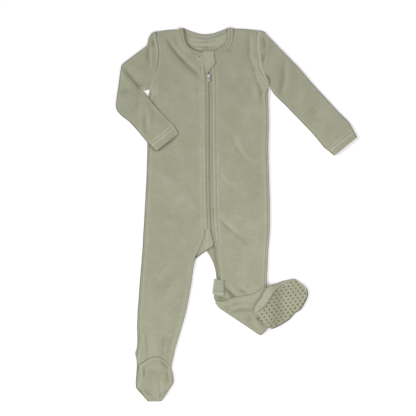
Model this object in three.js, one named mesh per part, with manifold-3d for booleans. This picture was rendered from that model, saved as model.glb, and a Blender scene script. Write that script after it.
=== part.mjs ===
// A footed baby sleepsuit of fine rib knit, laid face up on a flat surface with one sleeve bent and one leg
// folded forward at the knee, so that its sole faces up.
// Millimetres, +Z up. X runs across the chest, Y from the feet to the neck, and z = 0 is the surface.
// Right and left are the wearer's: the wearer's right is at -X.
import * as THREE from "three";
import Module from "manifold-3d";

const wasm = await Module();
wasm.setup();

// Cloth
const WALL = 1.2; // one layer of knit
const GAP = 0.3; // between pieces that meet at a seam
const EDGE_HEIGHT = 4.4; // where the back rolls round the side to the front
const LIP = 4; // how far the back shows on the front, up to the side seam
const CENTRE_X = -2; // the middle of the back
const CHEST_HEIGHT = 5.4; // the outer face of the front panels above the surface
const CROWN_REACH = 32; // from the side seam to where the front is at its full height
const FOLD_MARGIN = 8; // folds die out over this distance from a panel's edges
const SLEEVE_HEIGHT = 5.4;
const CUFF_HEIGHT = 6;
const FOOT_HEIGHT = 6.2;
const ROW_STEP = 30; // the longest stretch between two sections of a panel
const BACK_STEP = 60; // the back lies flat, so that the rows of its table are close enough

// Colours
const SAGE = "#a0a38c";
const WARM_SAGE = "#a8a48f";
const TAPE_GREEN = "#a3aa9a";
const SILVER = "#dcdcda";

// Rows of numbers as objects keyed by the names of their columns.
const table = (columns, rows) =>
  rows.map((row) => Object.fromEntries(columns.split(" ").map((name, i) => [name, row[i]])));

const mix = (a, b, t) => a + (b - a) * t;
const smooth = (t) => {
  const s = THREE.MathUtils.clamp(t, 0, 1);
  return s * s * (3 - 2 * s);
};

// The body's two halves, from the shoulder down to the ankle or knee. The side is the outline, or the armhole
// seam above the armpit. The back panel reaches to its inner edge, the front panel to its own. A roll of 1 brings
// the back round that edge to the front, and rise is the height of the front's outer face.
const HALF_COLUMNS = "sideX sideY backX backY frontX frontY sideRoll innerRoll rise";
const RIGHT_HALF = table(HALF_COLUMNS, [
  [-97, 346.5, -2, 336, -54.5, 350.5, 0, 0, 3.2],
  [-96, 334.5, -2, 326, -52.5, 334.5, 0, 0, 5],
  [-93.5, 323, -2, 318, -48.5, 324, 0, 0, 5.4],
  [-92, 311.5, -2, 311, -41, 313, 0, 0, 5.4],
  [-92, 301, -2, 301, -31, 304.5, 0, 0, 5.4],
  [-92.5, 289, -2, 290, -14.4, 297.5, 0, 0, 5.4],
  [-96.5, 275.5, -2, 275.5, -12.4, 275.5, 0, 0, 5.4],
  [-103, 256.5, -2, 256.5, -10.8, 256.5, 0, 0, 5.4],
  [-109, 240, -2, 240, -10.2, 240, 0, 0, 5.4],
  [-110.5, 230, -2, 230, -10, 230, 1, 0, 5.4],
  [-112.5, 216.5, -2, 216.5, -10, 216.5, 1, 0, 5.4],
  [-114.5, 169, -2, 169, -9.5, 169, 1, 0, 5.4],
  [-114, 125.5, -2, 125.5, -9.5, 125.5, 1, 0, 5.4],
  [-115.5, 72, -2, 72, -9.2, 72, 1, 0, 5.4],
  [-118.5, 17, -2, 17, -8.2, 17, 1, 0, 5.4],
  [-121, -26.5, -2, -26.5, -6.4, -26.5, 1, 0, 5.4],
  [-122, -40, -2, -40, -5.6, -39, 1, 0, 5.4],
  [-122.5, -57, -2, -56, -12.4, -57.5, 1, 0, 5.4],
  [-123.5, -70.5, -2, -69.5, -18.2, -71, 1, 0, 5.4],
  [-124.5, -82, -11.5, -76.5, -23.4, -80.5, 1, 0.3, 5.4],
  [-125, -91, -21.5, -85, -27, -88.5, 1, 1, 5.4],
  [-126.5, -106.5, -26.5, -102.5, -31.2, -103.5, 1, 1, 5.4],
  [-128.5, -131, -30, -129, -34.3, -129.5, 1, 1, 5.4],
  [-130.5, -159.5, -35, -157.5, -39.3, -158, 1, 1, 5.4],
  [-132.5, -186, -40.5, -186, -44.8, -186, 1, 1, 5.4],
  [-133.5, -213, -48, -213, -52.3, -213, 1, 1, 5.4],
  [-133, -239.5, -56, -239.5, -60.3, -239.5, 1, 1, 5.4],
  [-134, -254.5, -61, -256.5, -65.3, -256.5, 1, 1, 5.4],
]);
const LEFT_HALF = table(HALF_COLUMNS, [
  [94.5, 349, -2, 336, 48.5, 352, 0, 0, 3.2],
  [93.3, 335.5, -2, 326, 48.3, 334.5, 0, 0, 5],
  [93.3, 323, -2, 318, 45.8, 321, 0, 0, 5.4],
  [94, 311.5, -2, 311, 39.7, 312, 0, 0, 5.4],
  [95, 302, -2, 301, 28.7, 305.5, 0, 0, 5.4],
  [96.3, 292.5, -2, 290, 13, 298.5, 0, 0, 5.4],
  [98.4, 277.5, -2, 275.5, 14.2, 277.5, 0, 0, 5.4],
  [104, 265, -2, 264, 14.8, 264, 0, 0, 5.4],
  [111.5, 254.5, -2, 253, 15.6, 252.5, 0, 0, 5.4],
  [116, 242, -2, 240, 16, 239.5, 0, 0, 5.4],
  [115.5, 231.5, -2, 230, 16.2, 231.5, 1, 0, 5.4],
  [115.5, 209, -2, 209, 16.4, 209, 1, 0, 5.4],
  [116.5, 171, -2, 171, 16.6, 171, 1, 0, 5.4],
  [115.5, 125.5, -2, 125.5, 16.8, 125.5, 1, 0, 5.4],
  [117, 68.5, -2, 68.5, 17.2, 68.5, 1, 0, 5.4],
  [118.5, 17, -2, 17, 18.3, 17, 1, 0, 5.4],
  [118.5, -26.5, -2, -26.5, 20.2, -26.5, 1, 0, 5.4],
  [117.5, -45.5, -2, -45.5, 20.8, -45.5, 1, 0, 5.4],
  [116, -62.5, -2, -60, 20.4, -62.5, 1, 0, 5.4],
  [115.5, -72, -2, -69.5, 20.5, -73, 1, 0, 5.4],
  [115, -81.5, 4, -79, 20.8, -82.5, 1, 0, 5.4],
  [114.5, -93, 10.5, -92, 22.4, -94, 1, 0, 5.4],
  [114, -107.5, 15, -107, 24.2, -108.5, 1, 0, 5.4],
  [113, -123.5, 17, -123, 25.2, -124.5, 1, 0, 5.2],
  [113.8, -148, 14, -140.5, 21, -144.5, 1, 0.5, 5],
  [114, -175, 12.5, -157.5, 18, -159, 1, 1, 5],
  [112, -201.5, 14.5, -163.5, 20, -164.5, 1, 1, 5],
  [103.5, -218.5, 22.5, -168, 27, -170, 1, 1, 5],
]);
const LEFT_THIGH_END = [[97.5, -211], [28.5, -171]];

// The back neckline from the shoulder to the middle, and the ankle seam's arch over the right foot.
const BACK_NECK_RIGHT = [[-97, 346.5], [-72, 350], [-44.5, 348], [-33, 341], [-20, 336.2], [-2, 335]];
const BACK_NECK_LEFT = [[94.5, 349], [62, 352], [37.5, 347.5], [25, 341], [12, 336.2], [-2, 335]];
const ANKLE_ARCH = [
  [-129, -286],
  [-116, -277.5],
  [-109, -271.5],
  [-92.5, -271.5],
  [-83.5, -276],
  [-76.5, -283],
  [-73.8, -288],
];
const BACK_ANKLE = table(HALF_COLUMNS, [
  [-137, -265, -64, -270, 0, 0, 1, 1, 0],
  [-134.5, -276.5, -66.5, -280.5, 0, 0, 1, 1, 0],
  [-134, -287.5, -68.5, -292, 0, 0, 1, 1, 0],
]);

// The sleeves, as sections from the outer edge to the underarm edge. The right sleeve turns at the elbow round a
// point close to the armpit, and its forearm comes back over the chest.
const RIGHT_SLEEVE = [
  [[-98, 346.5], [-97.3, 334.5], [-93.4, 314.5], [-93.4, 296.5], [-98, 275.5], [-104.3, 256.5], [-110, 238.5]],
  [[-106, 343], [-101.5, 315.5], [-102, 273.5], [-112.5, 236]],
  [[-112, 333], [-108.5, 308], [-109.5, 270], [-116.5, 235.2]],
  [[-115, 320.5], [-120, 235]],
  [[-128.5, 309.5], [-124, 235.5]],
  [[-144.5, 296.5], [-127.3, 236.3]],
  [[-161.5, 285], [-129.4, 236]],
  [[-165.5, 268], [-130.3, 234.8]],
  [[-169, 243], [-130.3, 233.3]],
  [[-172.5, 220.5], [-129.2, 232]],
  [[-174, 206], [-127.3, 231]],
  [[-171.5, 196], [-124, 230.4]],
  [[-164.5, 187.5], [-119.8, 228.2]],
  [[-149, 175.5], [-111, 218]],
  [[-134, 159.5], [-97, 202.5]],
  [[-121, 144], [-78.5, 183]],
  [[-108.7, 129.6], [-62, 167]],
];
const LEFT_SLEEVE = [
  [[97.3, 348.5], [94.9, 335.5], [95.1, 313.5], [97.9, 292.5], [100, 277.5], [105.6, 266], [117.2, 243]],
  [[105.5, 347.3], [104.7, 321], [109, 281], [119.5, 238.5]],
  [[114, 338], [125.5, 228.5]],
  [[128.5, 323], [136, 217.5]],
  [[149, 302], [148, 206]],
  [[174, 276.5], [162.5, 191]],
  [[199, 247], [178.5, 174.5]],
  [[224, 220], [195, 157.5]],
  [[248, 194], [209, 141.5]],
  [[270.5, 171], [222, 125.5]],
  [[277.5, 157.7], [229.3, 120]],
];
const RIGHT_CUFF = [[[-107.5, 128.2], [-61, 165.6]], [[-98, 118.8], [-54.3, 152.3]]];
const LEFT_CUFF = [[[277.7, 157.3], [229.6, 119.6]], [[284, 145.7], [240.5, 110.5]]];

// The lower left leg, turned up over the thigh: its upper edge, its fold, and the height of its outer face.
const TURNED_LEG = table("topX topY foldX foldY height", [
  [20.7, -169, 21.7, -176.5, 8.2],
  [31, -165, 29.3, -183.3, 9.6],
  [49.5, -158, 46.2, -194.5, 10.2],
  [71.5, -154.5, 68, -209, 10],
  [88.5, -150.7, 85, -220.5, 9.1],
  [102.5, -142.5, 101, -230, 8.8],
  [110.3, -138.3, 114.2, -218, 8.6],
]);

// The left foot lies sole up, from the heel to the toe. Its inner edge shows a band of the upper, up to the sole.
const LEFT_FOOT = table("innerX innerY outerX outerY band", [
  [88.5, -184.5, 94, -199, 5],
  [88.8, -176, 106.5, -211.3, 11],
  [95, -165, 123.5, -217.2, 17],
  [102.5, -155.5, 143.3, -208.5, 17.5],
  [109.3, -141.5, 156, -200, 19.5],
  [119.7, -133.5, 166.3, -188.5, 15.5],
  [130.7, -131.5, 177.3, -181.5, 9.5],
  [143.3, -126.7, 185.6, -168, 6.5],
  [156, -124.3, 191, -155, 3.6],
  [163.8, -122.5, 189.8, -143.3, 3.6],
  [169.7, -126, 182.5, -135.7, 3.6],
]);
const FOOT_REST = 9.6; // the heel lies on the turned leg, and the toes on the surface
const FOOT_DROP_START = 116;
const FOOT_DROP_LENGTH = 30;

// The right foot, sole down.
const RIGHT_FOOT = table("innerX innerY outerX outerY height", [
  [-133.8, -288.2, -68.3, -292.7, 4.4],
  [-135, -304, -65, -305, 5.6],
  [-136, -321, -64.5, -320, 6.2],
  [-132, -334, -69.5, -333, 6],
  [-124.5, -343.5, -76.5, -342.5, 5.4],
  [-117, -351, -83, -350.7, 4.6],
  [-111, -355.7, -89, -355.7, 3.6],
]);
const UPPER_ARCH = ANKLE_ARCH.map(([x, y]) => [x + (x < -100 ? 0.6 : -0.2), y - 1.4]);

// The zip's line, down the front and on along the inside of the left leg. Full is 1 where the tapes and bands lie
// flat beside the teeth, and less where they turn under at the leg's edge.
const ZIP_LINE = table("x y full", [
  [-1.5, 308, 1],
  [0.4, 281, 1],
  [2.7, 249, 1],
  [3.2, 216.5, 1],
  [3.6, 121.5, 1],
  [4.2, 55, 1],
  [5.1, 17, 1],
  [7, -26.5, 1],
  [9.7, -41, 0.85],
  [12.2, -52.5, 0.65],
  [13.9, -64.5, 0.45],
  [14.8, -80, 0.4],
  [16.5, -95, 0.36],
  [18.2, -108, 0.34],
  [19.4, -121, 0.32],
]);
const TEETH = { from: -1.1, to: 1.1, low: 3.9, high: 6.1 };
const TAPE_RIGHT = { from: -5.6, to: -1.5, low: 3.9, high: 5.5 };
const TAPE_LEFT = { from: 1.5, to: 5.6, low: 3.9, high: 5.5 };
const BAND_RIGHT = { from: -12.1, to: -6, low: 3.9, high: 6 };
const BAND_LEFT = { from: 6, to: 12.1, low: 3.9, high: 6 };
const TEETH_TOP = 256; // the teeth part above this, at the slider
const RIGHT_SIDE_END = -28.5; // the right band and tape end where the gusset begins

const GUSSET = [
  [[-4.6, -31.5], [5.3, -31.5]],
  [[-4.8, -39.5], [7.8, -40]],
  [[-11.3, -57.2], [10.6, -51]],
  [[-17, -70.2], [11.1, -56]],
  [[-20.6, -80.4], [11.4, -59.5]],
];
const GUSSET_HEIGHT = 5.2;

// The neck binding and the tape inside the back neck.
const BINDING_RIGHT = [
  [[-54, 352.2], [-46.2, 352.6]],
  [[-52, 338], [-43.8, 338]],
  [[-49.2, 326.2], [-42, 328.2]],
  [[-41.4, 314.4], [-36.5, 318.5]],
  [[-31, 306.3], [-26.5, 312]],
  [[-21.5, 302.4], [-19, 309.2]],
  [[-14.3, 300.4], [-14.1, 308.3]],
];
const BINDING_LEFT = [
  [[47.9, 353], [39, 353]],
  [[47.6, 331], [38, 334]],
  [[44.6, 321.2], [32.3, 320.5]],
  [[38.6, 313.6], [22.8, 313.9]],
  [[27.8, 306.8], [17, 310.3]],
  [[16.5, 302.3], [13.9, 310.4]],
];
const BINDING_BACK = [
  [[-44, 352.2], [-43.5, 349.5]],
  [[-33, 347.7], [-33.3, 343]],
  [[-17.5, 342.8], [-18, 338.9]],
  [[-4, 341.3], [-4, 337.2]],
  [[10, 342.9], [10.3, 339.2]],
  [[24, 347.7], [24.5, 343.3]],
  [[36.5, 352.4], [36.8, 349]],
];
const NECK_TAPE = [
  [[-42, 345.5], [-41, 341.5]],
  [[-33, 341], [-32.3, 336.7]],
  [[-17.7, 336.2], [-17.3, 331.7]],
  [[-4, 335], [-4, 330.3]],
  [[10, 336.4], [9.7, 331.8]],
  [[24.7, 341], [24, 336.6]],
  [[35.5, 345.6], [34.5, 341.4]],
];

// The guard over the top of the zip, and the patch that covers its lower end, turned out at the knee.
const GUARD = [[-8.6, 309], [13, 309], [12.9, 300], [16, 287.7], [0.4, 266.3], [-3.6, 266.3], [-8.1, 296.4]];
const GUARD_LOW = 6.4;
const GUARD_THICKNESS = 1.8;
const END_PATCH = [[[12.7, -123], [31.7, -126]], [[11, -138], [31.7, -140.5]], [[9.3, -152.2], [31.7, -154.7]]];
const PATCH_LOW = 5.8;
const PATCH_THICKNESS = 2;

// The zip's slider and pull tab.
const SLIDER_AT = [2, 261];
const SLIDER_WIDTH = 6;
const SLIDER_LENGTH = 9;
const SLIDER_LOW = 4;
const SLIDER_PLATE_LOW = 6.4;
const SLIDER_PLATE_TOP = 7.4;
const SLIDER_CORE = 2;
const BRIDGE_INNER = 0.8;
const BRIDGE_OUTER = 2.1;
const BRIDGE_WIDTH = 1;
const PULL_LENGTH = 9.6;
const PULL_WIDTH = 4.4;
const PULL_THICKNESS = 0.9;
const PULL_EYE_LENGTH = 2.6;
const PULL_EYE_WIDTH = 2;

// The largest folds: a ridge where the height is above 0, and a trough where it is below.
const FOLDS = table("x1 y1 x2 y2 width height", [
  [-70, 321, -8, 257, 9, -1.3],
  [-78, 300, -20, 246, 14, 0.7],
  [48, 316, 41, 308, 7, -0.8],
  [103, 249, 104, 224, 6, -1],
  [108.5, 224, 108.5, 199, 6, -0.9],
  [57, 143, 87.5, 98, 9, 0.7],
  [24, 82.5, 63, 46, 12, 0.8],
  [20, -7.5, 55, -37, 10, -1.1],
  [55, -37, 89.5, -77.5, 10, -0.9],
  [60, -136, 80, -149, 7, 1.2],
  [-160, 277, -129, 241, 7, -1.6],
  [-164, 262, -136, 240, 9, 1.1],
  [-112, 317, -110, 282, 9, -1],
  [104, 332, 106, 287, 7, -1.1],
  [-101, 326, -100, 318, 5, -1.1],
  [-115, -232, -112, -254, 9, 0.8],
  [-92, -228, -93, -256, 9, 0.8],
  [56, -184, 86, -181, 7, -1],
  [52, -170, 88, -168, 8, 0.6],
]);

function foldHeight(x, y) {
  let height = 0;
  for (const fold of FOLDS) {
    const along = new THREE.Vector2(fold.x2 - fold.x1, fold.y2 - fold.y1);
    const length = along.length();
    along.normalize();
    const from = new THREE.Vector2(x - fold.x1, y - fold.y1);
    const across = from.cross(along);
    const past = Math.max(0, -from.dot(along), from.dot(along) - length);
    height += fold.height * Math.exp(-((across / fold.width) ** 2) - (past / fold.width) ** 2);
  }
  return height;
}

// A curve in plan that is read by its length, from 0 at its first point.
function planCurve(points) {
  const curve = new THREE.SplineCurve(points.map(([x, y]) => new THREE.Vector2(x, y)));
  const length = curve.getLength();
  return { length, at: (u) => curve.getPointAt(THREE.MathUtils.clamp(u / length, 0, 1)) };
}

const SAMPLES = 12; // points read from each given section before the sections between them are worked out

// Sections between the given ones, so that no stretch is longer than step. Each is a curve in plan, with the named
// values of its row worked out between the two rows it lies between.
function fillSections(sections, values, step) {
  const sampled = sections.map((points) => {
    const curve = planCurve(points);
    return Array.from({ length: SAMPLES + 1 }, (_, i) => curve.at((curve.length * i) / SAMPLES));
  });
  const filled = [];
  const last = sections.length - 1;
  for (let row = 0; row < last; row++) {
    const longest = Math.max(...sampled[row].map((p, i) => p.distanceTo(sampled[row + 1][i])));
    const parts = Math.max(1, Math.ceil(longest / step));
    for (let part = 0; part < parts || (row === last - 1 && part === parts); part++) {
      const t = part / parts;
      const points = sampled[row].map((p, i) => p.clone().lerp(sampled[row + 1][i], t).toArray());
      const blended = {};
      for (const name of Object.keys(values[row])) blended[name] = mix(values[row][name], values[row + 1][name], t);
      filled.push({ curve: planCurve(points), ...blended });
    }
  }
  return filled;
}

// A closed solid between two grids of points, the outer and the inner face of a wall. In a ring the last column
// meets the first.
function solidBetween(outer, inner, ring) {
  const rows = outer.length;
  const columns = outer[0].length;
  const positions = [...outer.flat(), ...inner.flat()].flat();
  const index = [];
  const out = (r, c) => r * columns + (c % columns);
  const inn = (r, c) => rows * columns + out(r, c);
  const quad = (a, b, c, d) => index.push(a, b, c, a, c, d);
  const spans = ring ? columns : columns - 1;
  for (let r = 0; r < rows - 1; r++) {
    for (let c = 0; c < spans; c++) {
      quad(out(r, c), out(r, c + 1), out(r + 1, c + 1), out(r + 1, c));
      quad(inn(r, c), inn(r + 1, c), inn(r + 1, c + 1), inn(r, c + 1));
    }
  }
  for (let c = 0; c < spans; c++) {
    quad(out(0, c), inn(0, c), inn(0, c + 1), out(0, c + 1));
    quad(out(rows - 1, c), out(rows - 1, c + 1), inn(rows - 1, c + 1), inn(rows - 1, c));
  }
  if (!ring) {
    for (let r = 0; r < rows - 1; r++) {
      quad(out(r, 0), out(r + 1, 0), inn(r + 1, 0), inn(r, 0));
      quad(out(r, columns - 1), inn(r, columns - 1), inn(r + 1, columns - 1), out(r + 1, columns - 1));
    }
  }
  const geometry = new THREE.BufferGeometry();
  geometry.setAttribute("position", new THREE.Float32BufferAttribute(positions, 3));
  geometry.setIndex(signedVolume(positions, index) < 0 ? index.toReversed() : index);
  return geometry;
}

function signedVolume(positions, index) {
  const corner = (i) => new THREE.Vector3(...positions.slice(3 * i, 3 * i + 3));
  let volume = 0;
  for (let i = 0; i < index.length; i += 3) {
    volume += corner(index[i]).dot(corner(index[i + 1]).cross(corner(index[i + 2]))) / 6;
  }
  return volume;
}

// A wall from filled sections. The profile gives, for one section, a list of points on the outer face and the
// inner face, each as [length along the section, height]. The base lifts the wall onto what it lies on.
function wallFrom(sections, profile, { ring = false, base = () => 0 } = {}) {
  const outer = [];
  const inner = [];
  for (const section of sections) {
    const faces = profile(section);
    const place = ([u, z], i) => {
      const at = section.curve.at(u);
      const under = section.curve.at(faces.outer[i][0]);
      return [at.x, at.y, z + base(under.x, under.y)];
    };
    outer.push(faces.outer.map(place));
    inner.push(faces.inner.map(place));
  }
  return solidBetween(outer, inner, ring);
}

// A point at an angle round a centre at [u, z], with the angle counted from the direction of the section.
function roundPoint(u, z, radius, degrees) {
  const angle = THREE.MathUtils.degToRad(degrees);
  return [u + radius * Math.cos(angle), z + radius * Math.sin(angle)];
}

// Half a roll of cloth from its lip on top, round the edge at length 0, to the underside. A roll of 0 is a flat
// edge instead, with its outer points down the cut end and its inner points on the upper face.
function rolledEdge(height, lip, roll) {
  const radius = height / 2;
  const angles = [90, 150, 210, 270];
  const outerRolled = [[lip, height], ...angles.map((degrees) => roundPoint(radius, radius, radius, degrees))];
  const innerRolled = [
    [lip, height - WALL],
    ...angles.map((degrees) => roundPoint(radius, radius, radius - WALL, degrees)),
  ];
  const steps = angles.length;
  const blend = (flat, rolled) => [mix(flat[0], rolled[0], roll), mix(flat[1], rolled[1], roll)];
  return {
    outer: outerRolled.map((point, i) => blend([0, WALL * (1 - i / steps)], point)),
    inner: innerRolled.map((point, i) => blend([((i + 1) * radius) / (steps + 2), WALL], point)),
    radius,
  };
}

// The section of a wall that lies flat below and rolls round one or both of its edges.
function underProfile(columns, read) {
  return (section) => {
    const { height, firstLip, firstRoll, secondLip, secondRoll } = read(section);
    const length = section.curve.length;
    const first = rolledEdge(height, firstLip, firstRoll);
    const second = rolledEdge(height, secondLip, secondRoll);
    const mirror = (points) => points.map(([u, z]) => [length - u, z]).reverse();
    const middle = Array.from({ length: columns - 1 }, (_, i) =>
      mix(first.radius, length - second.radius, (i + 1) / columns),
    );
    return {
      outer: [...first.outer, ...middle.map((u) => [u, 0]), ...mirror(second.outer)],
      inner: [...first.inner, ...middle.map((u) => [u, WALL]), ...mirror(second.inner)],
    };
  };
}

// The section of a wall that lies on top: heightAt gives its outer face from the length along it.
function topProfile(columns, heightAt) {
  return (section) => {
    const outer = Array.from({ length: columns + 1 }, (_, i) => {
      const u = (section.curve.length * i) / columns;
      const at = section.curve.at(u);
      return [u, heightAt(u, section, at)];
    });
    return { outer, inner: outer.map(([u, z]) => [u, z - WALL]) };
  };
}

// The section of a flattened tube of cloth, flat below.
function tubeProfile(height, { low = 2, high = 7, folded = true } = {}) {
  const radius = height / 2;
  return (section) => {
    const length = section.curve.length;
    const outer = [];
    const inner = [];
    const add = (u, z, inU, inZ) => {
      outer.push([u, z]);
      inner.push([inU, inZ]);
    };
    for (let i = 0; i <= low; i++) {
      const u = mix(radius, length - radius, i / low);
      add(u, 0, u, WALL);
    }
    const turn = (degrees, centre) => {
      add(...roundPoint(centre, radius, radius, degrees), ...roundPoint(centre, radius, radius - WALL, degrees));
    };
    for (const degrees of [-45, 0, 45]) turn(degrees, length - radius);
    for (let i = 0; i <= high; i++) {
      const u = mix(length - radius, radius, i / high);
      const at = section.curve.at(u);
      const edge = Math.min(1, i, high - i);
      const z = height + (folded ? foldHeight(at.x, at.y) * edge : 0);
      add(u, z, u, z - WALL);
    }
    for (const degrees of [135, 180, 225]) turn(degrees, radius);
    return { outer, inner };
  };
}

function mesh(name, geometry, colour, roughness = 0.95, metalness = 0) {
  const made = new THREE.Mesh(geometry, new THREE.MeshStandardMaterial({ color: colour, roughness, metalness }));
  made.name = name;
  return made;
}

// Joins closed geometries into one.
function join(geometries) {
  const solids = geometries.map((geometry) => {
    const flat = geometry.index ? geometry.toNonIndexed() : geometry;
    const place = flat.getAttribute("position").array;
    const solid = new wasm.Mesh({
      numProp: 3,
      vertProperties: Float32Array.from(place),
      triVerts: Uint32Array.from({ length: place.length / 3 }, (_, i) => i),
    });
    solid.merge();
    return new wasm.Manifold(solid);
  });
  const joined = solids.reduce((a, b) => a.add(b)).getMesh();
  const geometry = new THREE.BufferGeometry();
  geometry.setAttribute("position", new THREE.BufferAttribute(joined.vertProperties, joined.numProp));
  geometry.setIndex(new THREE.BufferAttribute(joined.triVerts, 1));
  return geometry;
}

const suit = new THREE.Group();

// The back panel, with both back legs. Its two halves overlap a little at the middle, where they are joined.
function backPanel() {
  const OVERLAP = 0.2;
  const half = (rows, neck, shift) => {
    const pastCentre = ([x, y]) => [x === CENTRE_X ? x + shift : x, y];
    const sections = rows.map((row) => [[row.sideX, row.sideY], pastCentre([row.backX, row.backY])]);
    sections[0] = neck.map(pastCentre);
    const filled = fillSections(sections, rows, BACK_STEP);
    return wallFrom(
      filled,
      underProfile(3, (row) => ({
        height: EDGE_HEIGHT,
        firstLip: LIP,
        firstRoll: row.sideRoll,
        secondLip: LIP,
        secondRoll: row.innerRoll,
      })),
    );
  };
  const right = half([...RIGHT_HALF, ...BACK_ANKLE], BACK_NECK_RIGHT, OVERLAP);
  const left = half(LEFT_HALF, BACK_NECK_LEFT, -OVERLAP);
  return mesh("back", join([right, left]), SAGE);
}

// A front panel, from its side seam to the zip, the gusset or the inner seam of its leg.
function frontPanel(name, rows, lastSection) {
  const side = (row) => {
    const start = new THREE.Vector2(row.sideX, row.sideY);
    const end = new THREE.Vector2(row.frontX, row.frontY);
    const inset = row.sideRoll * (LIP + GAP) + (1 - row.sideRoll) * GAP;
    return start.add(end.clone().sub(start).setLength(inset)).toArray();
  };
  const sections = rows.map((row) => [side(row), [row.frontX, row.frontY]]);
  const values = [...rows];
  if (lastSection) {
    sections.push(lastSection);
    values.push(rows.at(-1));
  }
  const filled = fillSections(sections, values, ROW_STEP);
  const heightAt = (u, row, at) => {
    const toInner = row.curve.length - u;
    const sideCrown = mix(smooth(u / CROWN_REACH), 1, 1 - row.sideRoll);
    const innerCrown = mix(1, smooth(toInner / CROWN_REACH), row.innerRoll);
    const fold = foldHeight(at.x, at.y) * smooth(u / FOLD_MARGIN) * smooth(toInner / FOLD_MARGIN);
    return mix(Math.min(EDGE_HEIGHT, row.rise), row.rise, Math.min(sideCrown, innerCrown)) + fold;
  };
  return mesh(name, wallFrom(filled, topProfile(8, heightAt)), SAGE);
}

// How high the forearm lies: on the surface outside the body's right edge, and on the front within it. It climbs
// ahead of the edge, and starts to do so below the armpit.
function overBody(x, y) {
  const CLIMB_FROM_X = -141;
  const CLIMB_LENGTH = 18;
  const ARMPIT_Y = 228;
  const ARMPIT_LENGTH = 10;
  const across = smooth((x - CLIMB_FROM_X) / CLIMB_LENGTH);
  const along = smooth((ARMPIT_Y - y) / ARMPIT_LENGTH);
  return (CHEST_HEIGHT + 2 * GAP) * across * along;
}

const onSurface = () => 0;

function tube(name, sections, base, profile) {
  const values = sections.map(() => ({}));
  return mesh(name, wallFrom(fillSections(sections, values, ROW_STEP), profile, { ring: true, base }), SAGE);
}
const sleeve = (name, sections, base) => tube(name, sections, base, tubeProfile(SLEEVE_HEIGHT));
const cuff = (name, sections, base) => tube(name, sections, base, tubeProfile(CUFF_HEIGHT, { folded: false }));

// The lower left leg as it shows, the back of the leg turned up: over its fold it reaches down to the surface.
function turnedLeg() {
  const sections = TURNED_LEG.map((row) => [[row.topX, row.topY], [row.foldX, row.foldY]]);
  const filled = fillSections(sections, TURNED_LEG, ROW_STEP);
  const EDGE = 3;
  const TOP_DROP = 2.2;
  const MIDDLE = 7;
  const profile = (section) => {
    const { curve, height } = section;
    const outer = [[0, height - TOP_DROP], [EDGE * 0.3, height - TOP_DROP * 0.4]];
    const inner = [[WALL, height - TOP_DROP], [EDGE * 0.3 + WALL * 0.8, height - TOP_DROP * 0.4 - WALL * 0.7]];
    for (let i = 0; i <= MIDDLE; i++) {
      const u = mix(EDGE, curve.length - EDGE, i / MIDDLE);
      const at = curve.at(u);
      const z = height + foldHeight(at.x, at.y) * smooth(i) * smooth(MIDDLE - i);
      outer.push([u, z]);
      inner.push([u, z - WALL]);
    }
    for (const degrees of [45, 0, -45, -80]) {
      const cos = Math.cos(THREE.MathUtils.degToRad(degrees));
      const sin = Math.sin(THREE.MathUtils.degToRad(degrees));
      const centre = curve.length - EDGE;
      const half = height / 2;
      outer.push([centre + EDGE * cos, half + half * sin]);
      inner.push([centre + (EDGE - WALL) * cos, half + (half - WALL) * sin]);
    }
    const settle = outer.at(-1)[1];
    outer.at(-1)[1] = 0;
    inner.at(-1)[1] -= settle * 0.5;
    return { outer, inner };
  };
  return mesh("leg_left_turned", wallFrom(filled, profile), SAGE);
}

// The layers inside the folded leg, which share one rounded pad.
function foldedLayers() {
  const INSET = 6;
  const LOW = 5.9;
  const CLEAR = 0.5;
  const rows = TURNED_LEG.slice(1);
  const sections = rows.map((row) => {
    const top = new THREE.Vector2(row.topX, row.topY);
    const fold = new THREE.Vector2(row.foldX, row.foldY);
    const along = fold.clone().sub(top).setLength(INSET);
    return [top.add(along).toArray(), fold.sub(along).toArray()];
  });
  const filled = fillSections(sections, rows, ROW_STEP * 1.5);
  const COLUMNS = 4;
  const profile = (section) => {
    const outer = [];
    const inner = [];
    for (let i = 0; i <= COLUMNS; i++) {
      const u = (section.curve.length * i) / COLUMNS;
      const edge = i === 0 || i === COLUMNS ? 0.7 : 0;
      outer.push([u, section.height - WALL - CLEAR - 0.6 - edge]);
      inner.push([u, LOW]);
    }
    return { outer, inner };
  };
  return mesh("leg_left_folded_layers", wallFrom(filled, profile), SAGE);
}

// The height under the left foot.
const underLeftFoot = (x) => FOOT_REST * (1 - smooth((x - FOOT_DROP_START) / FOOT_DROP_LENGTH));

function leftFoot() {
  const LIP_OUTER = 3.6;
  const sections = LEFT_FOOT.map((row) => [[row.innerX, row.innerY], [row.outerX, row.outerY]]);
  const filled = fillSections(sections, LEFT_FOOT, ROW_STEP);
  const upper = wallFrom(
    filled,
    underProfile(5, (row) => ({
      height: FOOT_HEIGHT,
      firstLip: row.band,
      firstRoll: 1,
      secondLip: LIP_OUTER,
      secondRoll: 1,
    })),
    { base: underLeftFoot },
  );
  const soleSections = LEFT_FOOT.map((row) => {
    const curve = planCurve([[row.innerX, row.innerY], [row.outerX, row.outerY]]);
    return [curve.at(row.band + GAP), curve.at(curve.length - LIP_OUTER - GAP)].map((p) => p.toArray());
  });
  const soleHeight = (u, row) => FOOT_HEIGHT + 0.5 * smooth(u / 10) * smooth((row.curve.length - u) / 10);
  const sole = wallFrom(fillSections(soleSections, LEFT_FOOT, ROW_STEP), topProfile(6, soleHeight), {
    base: underLeftFoot,
  });
  return [mesh("foot_left_upper", upper, SAGE), mesh("foot_left_sole", sole, SAGE)];
}

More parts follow.
